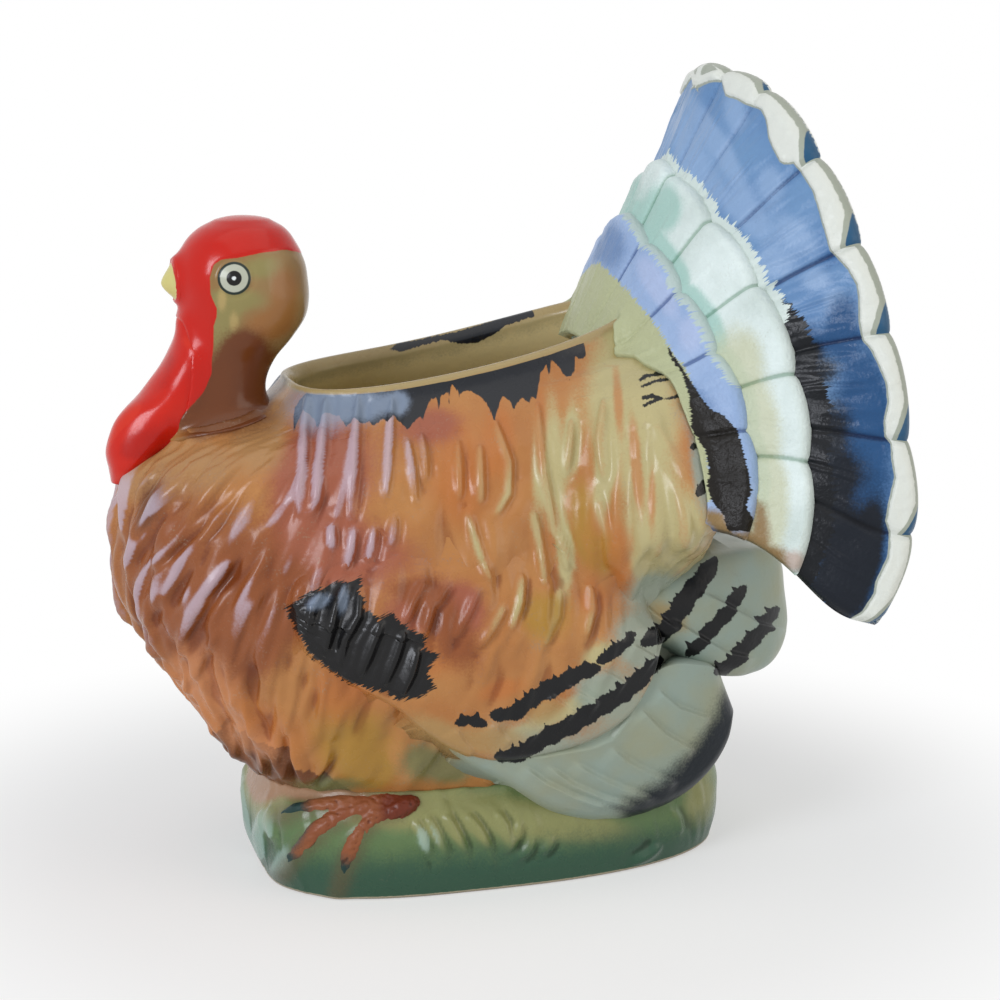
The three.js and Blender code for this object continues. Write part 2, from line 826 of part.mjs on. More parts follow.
// A fan of feathers from a root radius to a scalloped edge, between two heights over the sheet.
function fanSolid(feathers, reach, edge, scallop, swell, rootRadius, faceRaise, backRaise, edgeRound) {
  const edges = bothSides(feathers);
  const front = [];
  const back = [];
  for (let r = 0; r <= tailRings; r++) {
    const out = r / tailRings;
    const faceRow = [];
    const backRow = [];
    for (let f = 0; f + 1 < edges.length; f++)
      for (let k = 0; k <= tailColumnsPerFeather; k++) {
        if (k === tailColumnsPerFeather && f + 2 < edges.length) continue;
        const part = k / tailColumnsPerFeather;
        const share = THREE.MathUtils.lerp(edges[f], edges[f + 1], part);
        const dome = Math.sqrt(Math.max(0, 4 * part * (1 - part)));
        const rim = reach * readTable(edge, Math.abs(share), 1) + scallop * dome;
        const radius = THREE.MathUtils.lerp(rootRadius, rim, out);
        const angle = share * tailSpreadAt(radius) * degree;
        const thin = smoothStep(tailThinShare, 1, out);
        faceRow.push(tailPoint(radius, angle, faceRaise + swell * (dome - 1 - thin)));
        const backRadius = radius - edgeRound * smoothStep(tailBevelShare, 1, out);
        backRow.push(tailPoint(backRadius, angle, backRaise(radius)));
      }
    front.push(faceRow);
    back.push(backRow);
  }
  return slab(front, back);
}

function tailBackRaise(radius) {
  const root = 1 - smoothStep(tailRootRadius, tailRootEndShare * tailRadius, radius);
  return -tailThickness - (tailRootThickness - tailThickness) * root;
}

function fanBlank(extra) {
  const rear = (radius) => tailBackRaise(radius) - extra;
  return fanSolid(
    tailFeatherShares,
    tailRadius,
    tailEdgeShares,
    tailScallop,
    tailSwell,
    tailRootRadius - extra,
    extra,
    rear,
    tailEdgeRound,
  );
}

// Rows lie on the fan's face, one slip joint above what is under them.
const whiteBack = slipJoint;
const whiteFace = whiteBack + rowThickness;
const blueBack = whiteFace + slipJoint;
const blueFace = blueBack + rowThickness;

function rowSolid(feathers, reach, edge, back, face) {
  const rear = () => back;
  return fanSolid(feathers, reach, edge, rowScallop, tailSwell / 2, tailRootRadius, face, rear, 0);
}

const tailCutter = fanBlank(slipJoint);

function makeFan() {
  return fanBlank(0).subtract(bodySeatCutter);
}

function makeWhiteRow() {
  const row = rowSolid(whiteFeatherShares, whiteRowRadius, whiteEdgeShares, whiteBack, whiteFace);
  return row.subtract(bodySeatCutter);
}

function makeBlueRow() {
  const row = rowSolid(blueFeatherShares, blueRowRadius, blueEdgeShares, blueBack, blueFace);
  return row.subtract(bodySeatCutter);
}

// A tapered tube through points, with a radius for each.
function taperedTube(path, radii) {
  const rings = path.map((centre, k) => {
    const before = path[Math.max(k - 1, 0)];
    const after = path[Math.min(k + 1, path.length - 1)];
    const along = after.clone().sub(before).normalize();
    const side = new THREE.Vector3(0, 0, 1).cross(along).normalize();
    const up = along.clone().cross(side);
    return Array.from({ length: toeSides }, (_, i) => {
      const angle = (i / toeSides) * 2 * Math.PI;
      return centre
        .clone()
        .addScaledVector(side, radii[k] * Math.cos(angle))
        .addScaledVector(up, radii[k] * Math.sin(angle));
    });
  });
  return loft(rings);
}

// A place on the mound's left side, sunk a little below its skin.
function onMound(angle, heightShare, sink) {
  const bulge = moundBulge * readTable(moundRingShares, heightShare, 1);
  const inset = moundTopInset * readTable(moundRingShares, heightShare, 2);
  const p = moundPoint(angle, heightShare, bulge - inset - sink);
  return new THREE.Vector3(p.x, -p.y, p.z);
}

function makeToe(claw) {
  const path = [];
  const radii = [];
  for (let k = 0; k <= toeSteps; k++) {
    const t = k / toeSteps;
    const angle = THREE.MathUtils.lerp(ankle.angleDegrees, claw.angleDegrees, t) * degree;
    const height = THREE.MathUtils.lerp(ankle.heightShare, claw.heightShare, t);
    path.push(onMound(angle, height, toeSink));
    const knuckle = knuckleSwell * Math.sin(knuckleCount * Math.PI * t) ** 2;
    const taper = THREE.MathUtils.lerp(toeRadius, clawRadius, smoothStep(toeTaperShare, 1, t));
    radii.push(taper + knuckle * (1 - t));
  }
  return taperedTube(path, radii);
}

function makeFoot(side) {
  const toes = clawPlaces.map(makeToe);
  const start = onMound(ankle.angleDegrees * degree, ankle.heightShare, toeSink);
  const slope = new THREE.Vector3(-ankleRadius, 0, -ankleRadius * ankleSlopeShare);
  const shank = ankleSliceShares.map(([along]) => start.clone().addScaledVector(slope, along));
  const radii = ankleSliceShares.map(([, size]) => size * ankleRadius);
  const knob = taperedTube(shank, radii);
  const foot = toes.reduce((whole, toe) => whole.add(toe), knob);
  return onSide(foot, side).subtract(moundCutter).subtract(bodySeatCutter);
}

function largestBody(solid) {
  const bodies = solid.decompose();
  return bodies.reduce((best, body) => (body.volume() > best.volume() ? body : best));
}

const glaze = {
  grass: { color: 0x5f8f63, roughness: 0.2 },
  breast: { color: 0xa9652f, roughness: 0.22 },
  head: { color: 0xb08a58, roughness: 0.15 },
  red: { color: 0xc8281c, roughness: 0.12 },
  beak: { color: 0xe3cf86, roughness: 0.2 },
  rust: { color: 0xb5825a, roughness: 0.2 },
  sage: { color: 0x9db3a0, roughness: 0.2 },
  tailBlue: { color: 0x3f689f, roughness: 0.25 },
  white: { color: 0xe6eadb, roughness: 0.25 },
  paleBlue: { color: 0x8ea3cc, roughness: 0.25 },
  claw: { color: 0x8d5a41, roughness: 0.25 },
};

const planter = new THREE.Group();

function addPiece(name, solid, finish) {
  const mesh = solid.getMesh();
  const geometry = new THREE.BufferGeometry();
  const positions = new Float32Array(mesh.numVert * 3);
  for (let i = 0; i < mesh.numVert; i++)
    positions.set(mesh.vertProperties.subarray(i * mesh.numProp, i * mesh.numProp + 3), i * 3);
  geometry.setAttribute("position", new THREE.BufferAttribute(positions, 3));
  geometry.setIndex(new THREE.BufferAttribute(new Uint32Array(mesh.triVerts), 1));
  geometry.computeVertexNormals();
  const material = new THREE.MeshStandardMaterial({ metalness: 0, ...finish });
  const piece = new THREE.Mesh(geometry, material);
  piece.name = name;
  planter.add(piece);
}

addPiece("grass_base", largestBody(makeMound()), glaze.grass);
addPiece("body_shell", makePot(), glaze.breast);
addPiece("head_and_neck", largestBody(makeHead()), glaze.head);
addPiece("wattle", largestBody(makeWattle()), glaze.red);
addPiece("beak", largestBody(makeBeak()), glaze.beak);
for (const side of ["left", "right"]) {
  addPiece(`wing_coverts_${side}`, largestBody(makeCoverts(side)), glaze.rust);
  addPiece(`wing_primaries_${side}`, largestBody(makePrimaries(side)), glaze.sage);
  addPiece(`rump_lobe_${side}`, largestBody(makeLobe(side)), glaze.sage);
  addPiece(`foot_${side}`, largestBody(makeFoot(side)), glaze.claw);
}
addPiece("tail_fan", largestBody(makeFan()), glaze.tailBlue);
addPiece("tail_row_white", largestBody(makeWhiteRow()), glaze.white);
addPiece("tail_row_blue", largestBody(makeBlueRow()), glaze.paleBlue);

export default planter;
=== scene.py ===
import math
import bmesh
import bpy
import numpy as np
from mathutils import Matrix, Vector
from mathutils.bvhtree import BVHTree


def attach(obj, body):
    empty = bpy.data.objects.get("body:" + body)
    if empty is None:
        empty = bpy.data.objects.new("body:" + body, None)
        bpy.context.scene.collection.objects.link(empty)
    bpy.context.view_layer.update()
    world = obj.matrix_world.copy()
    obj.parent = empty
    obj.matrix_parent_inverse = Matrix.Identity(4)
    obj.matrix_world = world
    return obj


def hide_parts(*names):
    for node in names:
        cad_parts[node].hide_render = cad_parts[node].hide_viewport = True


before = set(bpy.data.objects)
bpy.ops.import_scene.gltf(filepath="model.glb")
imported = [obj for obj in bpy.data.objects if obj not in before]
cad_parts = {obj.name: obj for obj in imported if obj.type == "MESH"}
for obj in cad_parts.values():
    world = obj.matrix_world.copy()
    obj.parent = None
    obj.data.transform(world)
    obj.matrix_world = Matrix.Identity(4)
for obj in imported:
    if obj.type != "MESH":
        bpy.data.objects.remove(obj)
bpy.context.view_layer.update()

# The planter is worked out in millimetres and turned to metres when a mesh is made.
# The bird looks along -X, its tail stands at +X, and the side that the camera sees is -Y.
metre = 1000.0
turn = 2 * math.pi

cameraPlace = {"distance": 560.0, "elevation": 12.0, "azimuth": 16.0, "target": (8.0, 0.0, 83.25),
        "fieldOfView": 23.7, "photoSide": 1000.0}


def cameraAxes():
    azimuth = math.radians(cameraPlace["azimuth"])
    elevation = math.radians(cameraPlace["elevation"])
    back = Vector((-math.sin(azimuth) * math.cos(elevation),
            -math.cos(azimuth) * math.cos(elevation), math.sin(elevation)))
    right = Vector((math.cos(azimuth), -math.sin(azimuth), 0.0))
    eye = Vector(cameraPlace["target"]) + cameraPlace["distance"] * back
    return eye, right, back.cross(right), back


def cameraLens():
    # Focal length and middle of the picture, in pixels of the photograph.
    middle = cameraPlace["photoSide"] / 2
    return middle / math.tan(math.radians(cameraPlace["fieldOfView"]) / 2), middle


def makeCamera():
    eye, right, up, back = cameraAxes()
    data = bpy.data.cameras.new("photoView")
    data.sensor_fit = "HORIZONTAL"
    data.angle = math.radians(cameraPlace["fieldOfView"])
    data.clip_start = 0.01
    lens = bpy.data.objects.new("photoView", data)
    lens.matrix_world = Matrix((right, up, back)).transposed().to_4x4()
    lens.location = eye / metre
    bpy.context.scene.collection.objects.link(lens)
    bpy.context.scene.camera = lens


makeCamera()
print("camera placed")


# Curves and tables.
def readTable(rows, at, column=1):
    rows = np.asarray(rows, float)
    keys, values = rows[:, 0], rows[:, column]
    index = np.arange(len(keys))
    before, after = np.maximum(index - 1, 0), np.minimum(index + 1, len(keys) - 1)
    slopes = (values[after] - values[before]) / (keys[after] - keys[before])
    at = np.clip(at, keys[0], keys[-1])
    i = np.clip(np.searchsorted(keys, at, side="right") - 1, 0, len(keys) - 2)
    span = keys[i + 1] - keys[i]
    t = (at - keys[i]) / span
    keep = (1 + 2 * t) * (1 - t) ** 2
    bend = slopes[i] * span * t * (1 - t) ** 2 + slopes[i + 1] * span * t * t * (t - 1)
    return keep * values[i] + (1 - keep) * values[i + 1] + bend


def smoothStep(low, high, at):
    t = np.clip((at - low) / (high - low), 0, 1)
    return t * t * (3 - 2 * t)


def mix(a, b, t):
    return a + (b - a) * t


def ovalHeight(t, squareness):
    return np.clip(1 - np.abs(t) ** squareness, 0, 1) ** (1 / squareness)


def ovalPoint(angle, squareness):
    c, s = np.cos(angle), np.sin(angle)
    power = 2 / squareness
    return np.sign(c) * np.abs(c) ** power, np.sign(s) * np.abs(s) ** power


def evenRows(shares, across, up, step):
    length = np.concatenate([[0], np.cumsum(np.hypot(np.diff(across), np.diff(up)))])
    count = int(length[-1] / step) + 1
    return np.interp(np.linspace(0, length[-1], count), length, shares)


def runLength(points):
    return np.concatenate([[0], np.cumsum(np.linalg.norm(np.diff(points, axis=0), axis=1))])


# A grid of points has rows and columns. It is ringed where its last column meets its first.
def gridNormals(points, ringed):
    if ringed:
        along = np.roll(points, -1, 1) - np.roll(points, 1, 1)
    else:
        along = np.gradient(points, axis=1)
    normals = np.cross(along, np.gradient(points, axis=0))
    return normals / np.maximum(np.linalg.norm(normals, axis=2, keepdims=True), 1e-9)


def shownNormals(points, axis):
    # Normals of an open grid, turned so that they mostly look down the given axis.
    normals = gridNormals(points, False)
    return normals * -np.sign(normals[..., axis].mean())


def gridFaces(rows, columns, ringed=False, looped=False, start=0):
    r, c = np.meshgrid(np.arange(rows if looped else rows - 1),
            np.arange(columns if ringed else columns - 1), indexing="ij")
    nextRow, nextColumn = (r + 1) % rows, (c + 1) % columns
    quads = [r * columns + c, r * columns + nextColumn,
            nextRow * columns + nextColumn, nextRow * columns + c]
    return start + np.stack(quads, -1).reshape(-1, 4)


def treeOf(*grids):
    points, faces, start = [], [], 0
    for grid, ringed in grids:
        rows, columns = grid.shape[:2]
        points.append(grid.reshape(-1, 3))
        faces.append(gridFaces(rows, columns, ringed, False, start))
        start += rows * columns
    return BVHTree.FromPolygons(np.concatenate(points).tolist(), np.concatenate(faces).tolist())


def nearestOn(tree, points):
    flat = points.reshape(-1, 3)
    spots, normals = np.empty_like(flat), np.empty_like(flat)
    for i, place in enumerate(flat.tolist()):
        spot, normal, _, _ = tree.find_nearest(place)
        spots[i], normals[i] = spot, normal
    away = flat - spots
    gap = np.linalg.norm(away, axis=1) * np.where((away * normals).sum(1) < 0, -1, 1)
    shape = points.shape[:-1]
    return gap.reshape(shape), spots.reshape(points.shape), normals.reshape(points.shape)


def tuck(points, tree, depth):
    gap, spots, normals = nearestOn(tree, points)
    sunk = gap < -depth
    points[sunk] = (spots - depth * normals)[sunk]
    return points


def bump(distance, width):
    return np.exp(-(distance / width) ** 2)


# Distances in the side view, in millimetres.
def nearestSegment(x, z, path):
    best = np.full(x.shape, 1e9)
    along = np.zeros(x.shape)
    side = np.zeros(x.shape)
    steps = np.linalg.norm(np.diff(path, axis=0), axis=1)
    starts = np.concatenate([[0], np.cumsum(steps)])
    for i, step in enumerate(steps):
        dx, dz = (path[i + 1] - path[i]) / step
        rx, rz = x - path[i, 0], z - path[i, 1]
        t = np.clip(rx * dx + rz * dz, 0, step)
        gap = np.hypot(rx - t * dx, rz - t * dz)
        closer = gap < best
        best = np.where(closer, gap, best)
        along = np.where(closer, (starts[i] + t) / starts[-1], along)
        side = np.where(closer, np.sign(dx * rz - dz * rx), side)
    return best, along, side


def insideOutline(x, z, outline):
    closed = np.vstack([outline, outline[:1]])
    gap = nearestSegment(x, z, closed)[0]
    inside = np.zeros(x.shape, bool)
    for (x0, z0), (x1, z1) in zip(closed[:-1], closed[1:]):
        if z0 != z1:
            crosses = ((z0 > z) != (z1 > z)) & (x < (x1 - x0) * (z - z0) / (z1 - z0) + x0)
            inside ^= crosses
    return np.where(inside, gap, -gap)


def puffs(x, z, spots):
    # Soft round bursts of an airbrush: centre, reach along and across, and for some a tilt in degrees.
    total = np.zeros(x.shape)
    for centreX, centreZ, reachX, reachZ, *tilt in spots:
        angle = math.radians(sum(tilt))
        c, s = math.cos(angle), math.sin(angle)
        u = ((x - centreX) * c + (z - centreZ) * s) / reachX
        w = ((z - centreZ) * c - (x - centreX) * s) / reachZ
        total = total + np.exp(-(u * u + w * w) ** 1.3)
    return np.clip(total, 0, 1)


def sprayed(u, v, sprays):
    # Layers of spray, and the millimetres in the photograph's plane that brush streaks run along.
    layers = {name: puffs(u, v, spots) for name, spots in sprays.items()}
    layers["across"], layers["along"] = u * pixelSize, v * pixelSize
    return layers


# Where points fall in the photograph. Both sides of the bird are painted alike, so y is taken as on its left.
def photoPixels(points, mirrored=True):
    eye, right, up, back = (np.array(axis) for axis in cameraAxes())
    focal, middle = cameraLens()
    sideways = np.abs(points[..., 1:2]) if mirrored else -points[..., 1:2]
    away = points * np.array([1, 0, 1]) - sideways * np.array([0, 1, 0]) - eye
    depth = -(away @ back)
    return middle + focal * (away @ right) / depth, middle - focal * (away @ up) / depth


# Pot: the breast, flanks and rump, open at the top.
pot = {
    "wall": 3.9, "breastReach": 82.5, "rumpReach": 57.0, "halfWidth": 44.5, "centreX": -12.0,
    "seatLevel": 22.0, "rimLevel": 115.0, "rimFrontX": -40.0, "rimBackX": 36.0, "rimRise": 14.8,
    "riseStraight": 0.31, "riseCurved": 0.69, "risePower": 1.2,
    "flareReach": 27.0, "flareStartX": 6.0, "flareX": 42.0,
    "squareFront": 2.35, "squareBack": 2.5, "squareRim": 2.9,
    "lipShare": 0.98, "step": 0.55, "columns": 680,
    # Height between seat and rim, reach to the front and back, half width, flare.
    "rings": [(0, .606, .877, .674, 0), (.086, .718, .947, .809, 0), (.194, .8, .982, .899, 0),
              (.323, .902, 1, .966, 0), (.452, .98, 1, 1, .08), (.53, 1, 1, .995, .5),
              (.6, 1, .98, .985, .92), (.71, .982, .947, .933, .88), (.817, .921, .877, .843, .74),
              (.871, .8, .825, .742, .72), (.892, .691, .79, .708, .62), (.914, .6, .75, .663, .42),
              (.957, .539, .71, .596, .12), (1, .5, .672, .562, 0)],
    # Folds: every other column is sunk. Height between seat and rim, share of the depth.
    "foldDepth": 1.8, "foldLean": 50.0, "foldColumns": 56, "foldEndX": 28.0, "foldFadeX": 46.0,
    "folds": [(0, 0), (.086, .7), (.18, 1), (.27, -.4), (.355, -1), (.452, -.7), (.53, .5), (.6, 1),
              (.68, .5), (.763, -.8), (.817, -.5), (.871, 0), (1, 0)],
}


def potRow(share):
    front, back, width, flare = (readTable(pot["rings"], share, k) for k in (1, 2, 3, 4))
    return (pot["breastReach"] * front + pot["centreX"], pot["rumpReach"] * back - pot["centreX"],
            pot["halfWidth"] * width, pot["flareReach"] * flare)


def potHeight(share, x):
    u = np.maximum(0, (x - pot["rimFrontX"]) / (pot["rimBackX"] - pot["rimFrontX"]))
    rise = pot["rimRise"] * (pot["riseStraight"] * u + pot["riseCurved"] * u * u)
    level = pot["seatLevel"] + share * (pot["rimLevel"] - pot["seatLevel"])
    return level + rise * share ** pot["risePower"]


def potSquareness(share, behind):
    low = np.where(behind, pot["squareBack"], pot["squareFront"])
    return mix(low, pot["squareRim"], share ** 4)


def potFlare(x, backX):
    return smoothStep(pot["flareStartX"], pot["flareX"], x) * (1 - smoothStep(pot["flareX"], backX, x))


def potRing(share, columns, flared=True):
    quarter = 300
    angle = np.linspace(0, turn, 4 * quarter + 1)
    frontReach, backReach, halfWidth, flare = potRow(share)
    behind = np.cos(angle) > 0
    along, across = ovalPoint(angle, potSquareness(share, behind))
    x = pot["centreX"] + along * np.where(behind, backReach, frontReach)
    swell = flare * potFlare(x, pot["centreX"] + backReach) if flared else 0
    y = across * halfWidth + np.sign(across) * swell * np.abs(across) ** 0.5
    ring = np.stack([x, y, potHeight(share, x), angle], 1)
    parts = []
    for q in range(4):
        arc = ring[q * quarter:(q + 1) * quarter + 1]
        length = runLength(arc[:, :3])
        at = np.linspace(0, length[-1], columns // 4, endpoint=False)
        parts.append(np.stack([np.interp(at, length, arc[:, k]) for k in range(4)], 1))
    return np.concatenate(parts)


def potFolds(share, angle, x):
    # How far the modelled feathers sink the surface: rows of soft folds that take turns.
    lean = math.radians(pot["foldLean"])
    column = angle
    for _ in range(8):
        column = angle - lean * np.sin(column) * (1 - np.cos(column)) / 2 * (0.5 - share)
    crest = np.cos(column * pot["foldColumns"] / 2)
    rows = np.array(pot["folds"])
    signed = np.interp(share, rows[:, 0], rows[:, 1])
    plain = np.interp(share, rows[:, 0], np.abs(rows[:, 1]))
    fade = 1 - smoothStep(pot["foldEndX"], pot["foldFadeX"], x)
    return -pot["foldDepth"] * fade * (plain - crest * signed) / 2


def potHalfWidth(x, z):
    low, high = np.zeros(x.shape), np.ones(x.shape)
    for _ in range(22):
        middle = (low + high) / 2
        under = potHeight(middle, x) < z
        low, high = np.where(under, middle, low), np.where(under, high, middle)
    frontReach, backReach, halfWidth, flare = potRow(low)
    behind = x > pot["centreX"]
    reach = np.where(behind, backReach, frontReach)
    across = ovalHeight((x - pot["centreX"]) / reach, potSquareness(low, behind))
    swell = flare * potFlare(x, pot["centreX"] + reach) * across ** 0.5
    return halfWidth * across + np.where(behind, swell, 0)


def potSkin():
    shares = np.linspace(0, pot["lipShare"], 800)
    frontReach = potRow(shares)[0]
    rows = evenRows(shares, frontReach, potHeight(shares, -frontReach), pot["step"])
    rings = np.stack([potRing(share, pot["columns"]) for share in rows])
    plain = rings[..., :3]
    folds = potFolds(rows[:, None], rings[..., 3], rings[..., 0])
    return plain + gridNormals(plain, True) * folds[..., None], folds


def potInside():
    rows = np.linspace(pot["lipShare"], 0, 70)
    skin = np.stack([potRing(share, pot["columns"], False) for share in rows[::-1]])[..., :3]
    inner = (skin - pot["wall"] * gridNormals(skin, True))[::-1]
    inner[..., 2] = np.maximum(inner[..., 2], pot["seatLevel"])
    return inner


def potLip(outer, inner):
    centre, reach = (outer + inner) / 2, (outer - inner) / 2
    radius = np.linalg.norm(reach, axis=1, keepdims=True)
    up = radius * np.array([0, 0, 1.0])
    angles = np.linspace(0, math.pi, 10)[1:-1]
    return np.stack([centre + math.cos(a) * reach + math.sin(a) * up for a in angles])


potOuter, potFoldHeight = potSkin()
potInner = potInside()
potEdge = potLip(potOuter[-1], potInner[0])
potTree = treeOf((potOuter, True))
potWallTree = treeOf((np.concatenate([potOuter, potEdge, potInner]), True))
print("pot surface", potOuter.shape)

# Grass mound under the bird.
mound = {
    "frontReach": 46.0, "backReach": 64.3, "halfWidth": 34.0, "centreX": -5.0, "topLevel": 36.0,
    "floorLevel": 5.0, "footWidth": 6.0, "footRecess": 1.5, "bulge": 1.6, "inset": 18.0,
    "floorShare": 0.86, "squareFront": 3.2, "squareBack": 2.5, "columns": 520, "rows": 84,
    "rings": [(0, 0, 0), (.14, .75, 0), (.28, 1, 0), (.44, .9, 0), (.58, .5, .08), (.72, .1, .32),
              (.86, 0, .62), (1, 0, 1)],
}


def moundPoint(angle, share, extra=0.0):
    behind = np.cos(angle) > 0
    along, across = ovalPoint(angle, np.where(behind, mound["squareBack"], mound["squareFront"]))
    out = (mound["bulge"] * readTable(mound["rings"], share, 1)
           - mound["inset"] * readTable(mound["rings"], share, 2) + extra)
    x = mound["centreX"] + along * (np.where(behind, mound["backReach"], mound["frontReach"]) + out)
    z = np.broadcast_to(share * mound["topLevel"], x.shape)
    return np.stack([x, across * (mound["halfWidth"] + out), z], -1)


def evenAngles(columns):
    angle = np.linspace(0, turn, 2401)
    ring = moundPoint(angle, np.zeros(angle.shape))
    length = runLength(ring)
    return np.interp(np.linspace(0, length[-1], columns, endpoint=False), length, angle)


moundAngles = evenAngles(mound["columns"])
moundOuter = np.stack([moundPoint(moundAngles, np.full(moundAngles.shape, share))
        for share in np.linspace(0, 1, mound["rows"])])
moundTree = treeOf((moundOuter, True))

# Head and neck.
head = {
    "footZ": 97.0, "crownZ": 151.3, "backX": -37.1, "length": 32.0, "halfWidth": 13.2,
    "rows": 150, "crownRows": 14, "crownLift": 1.0, "columns": 200, "skirt": 9.0,
    "slices": [(0, .96, .1, 1.2), (.07, 1.0, .18, 1.07), (.14, .98, .28, .9), (.22, .93, .33, .77),
               (.32, .91, .32, .71), (.42, .89, .24, .74), (.5, .875, .12, .85), (.58, .88, .03, .95),
               (.66, .905, 0, 1), (.74, .93, .005, 1), (.82, .92, .03, .95), (.9, .85, .1, .82),
               (.95, .76, .17, .65), (.985, .65, .27, .4)],
    "eyeRise": 0.5, "eyeRiseWidth": 2.6, "eyeGroove": 0.3, "eyeGrooveAt": 4.4, "capRise": 0.15,
    "waves": 0.12, "waveSize": 8, "lute": 6.0, "beakLute": 2.4, "tuck": 1.6,
}


def headRing(share, shrink=1.0):
    front, back, width = (readTable(head["slices"], share, k) for k in (1, 2, 3))
    angle = np.linspace(0, turn, head["columns"], endpoint=False)
    centre = head["backX"] - head["length"] * (front + back) / 2
    reach = head["length"] * (front - back) / 2 * shrink
    z = mix(head["footZ"], head["crownZ"], share) - head["skirt"] * (1 - smoothStep(0, 0.05, share))
    return np.stack([centre + reach * np.cos(angle), np.sin(angle) * head["halfWidth"] * width * shrink,
            np.full(angle.shape, z)], 1)


def headGrid():
    top = head["slices"][-1][0]
    rings = [headRing(share) for share in np.linspace(0, top, head["rows"])]
    for k in range(1, head["crownRows"] + 1):
        shrink = 1 - 0.98 * k / head["crownRows"]
        ring = headRing(top, shrink)
        ring[:, 2] += (head["crownZ"] - ring[:, 2]) * (1 - shrink * shrink) * head["crownLift"]
        rings.append(ring)
    return np.stack(rings)


# Wattle: the red lobe from the throat over the breast.
wattle = {
    "length": 44.0, "halfWidth": 8.4, "topX": -62.5, "topZ": 130.0, "rows": 120, "columns": 110,
    "slices": [(-.015, 0, .03, 0, .3), (-.02, .027, .06, 0, .5), (-.012, .114, .09, .039, .66),
               (-.032, .195, .1, .022, .76), (-.073, .295, .13, .015, .88), (-.125, .405, .17, -.005, .98),
               (-.18, .5, .195, -.026, 1.02), (-.25, .6, .195, -.026, 1), (-.315, .686, .16, -.005, .92),
               (-.375, .768, .095, .03, .72), (-.427, .848, .03, 0, .35)],
    "waves": 0.4, "waveSize": 9, "lute": 5.0, "luteFade": (120, 127), "throatFill": 0.8,
    "throatZ": (112, 120), "tuck": 1.6,
}


def wattleGrid():
    slices = [(k, *row) for k, row in enumerate(wattle["slices"])]
    at = np.linspace(0, len(slices) - 1, wattle["rows"])[:, None]
    along, down, thick, lean, width = (readTable(slices, at, k) for k in range(1, 6))
    angle = np.linspace(0, turn, wattle["columns"], endpoint=False)[None]
    reach = np.cos(angle) * thick * wattle["length"]
    x = wattle["topX"] + along * wattle["length"] + reach * np.cos(lean * turn)
    z = wattle["topZ"] - down * wattle["length"] + reach * np.sin(lean * turn)
    return np.stack([x, np.sin(angle) * wattle["halfWidth"] * width, z], -1)[::-1]


# Beak: a short blunt cone ahead of the face.
beak = {"length": 6.4, "drop": 0.8, "halfHeight": 5.4, "halfWidth": 4.6, "level": 0.75,
        "buried": 0.5, "blunt": 0.995, "squareness": 1.5, "rows": 48, "columns": 64,
        "tuck": 1.2, "capPixel": (172, 262), "capLean": 0.22}


def beakGrid():
    faceX = head["backX"] - head["length"] * readTable(head["slices"], beak["level"], 1)
    z = mix(head["footZ"], head["crownZ"], beak["level"])
    t = np.linspace(0, 1, beak["rows"])[:, None] ** 0.8
    size = ovalHeight(t * beak["blunt"], beak["squareness"])
    angle = np.linspace(0, turn, beak["columns"], endpoint=False)[None]
    x = faceX - beak["length"] * (t - beak["buried"]) + 0 * angle
    return np.stack([x, beak["halfWidth"] * size * np.sin(angle),
            z - beak["drop"] * t * t + beak["halfHeight"] * size * np.cos(angle)], -1)


# Wings: coverts over primaries. Outlines run from the shoulder to the back, along and up the wing.
wing = {
    "length": 103.0, "height": 68.0, "shoulderX": -51.0, "lowZ": 17.0, "halfWidth": 46.0,
    "centreX": -4.0, "reach": 77.0, "turnZ": 60.0, "drop": 62.0, "squareAlong": 2.6, "squareDown": 2.5,
    "rootY": 22.0, "thickness": 3.2, "step": 1.6, "standOff": 13.0, "columns": 230, "rows": 130,
    "covertSwell": 1.3, "covertLap": 0.5, "covertScallops": 6, "covertRoot": 1.1, "covertSunk": 0.5,
    "covertRound": 2.6, "covertUnder": 0.6, "covertOverhang": 1.2, "primaryRound": 5.0, "backDepth": 1.5,
    # Feather edges: height, and how far they run out.
    "strokeSpacing": (12, 14), "covertCliff": (0.75, 2.6), "primaryCliff": (1.05, 2.8),
    "covertTop": [(0, .82), (.05, .93), (.2, 1), (.42, .985), (.61, .93), (.76, .82), (.815, .7)],
    "covertLow": [(0, .79), (.04, .65), (.13, .54), (.22, .455), (.29, .36), (.37, .285), (.46, .245),
                  (.56, .255), (.66, .29), (.74, .36), (.79, .47), (.82, .6)],
    "primaryTop": [(.28, .39), (.4, .37), (.55, .38), (.7, .44), (.83, .52), (.93, .5), (.985, .46)],
    "primaryLow": [(.29, .36), (.385, .235), (.49, .13), (.605, .005), (.745, -.06), (.88, -.03),
                   (.968, .055), (1.022, .17), (1.035, .3)],
}

# Rump lobes: the feathers that stand out behind the wings, under the tail.
lobe = {
    "length": 42.0, "height": 30.0, "overhang": 14.0, "lowZ": 45.0, "halfWidth": 40.0, "reach": 64.0,
    "squareness": 2.4, "roll": 0.15, "rollSquareness": 2.6, "rootY": 0.15, "columns": 130, "rows": 110,
    "round": 5.0, "roundShare": 0.8, "cliff": (1.1, 3.4),
    "top": [(0, .75), (.3, .95), (.62, .99), (.88, .94), (1.03, .76)],
    "low": [(0, .45), (.2, .28), (.42, .06), (.66, -.04), (.89, -.05), (1.04, .08), (1.07, .36)],
}
lobeFrontX = pot["rumpReach"] + lobe["overhang"] - lobe["length"]
lobeCentreX = lobeFrontX - lobe["overhang"]


def outlineAt(outline, t):
    rows = [(k, *place) for k, place in enumerate(outline)]
    at = t * (len(outline) - 1)
    return readTable(rows, at, 1), readTable(rows, at, 2)


def wingPlace(along, up):
    return wing["shoulderX"] + along * wing["length"], wing["lowZ"] + up * wing["height"]


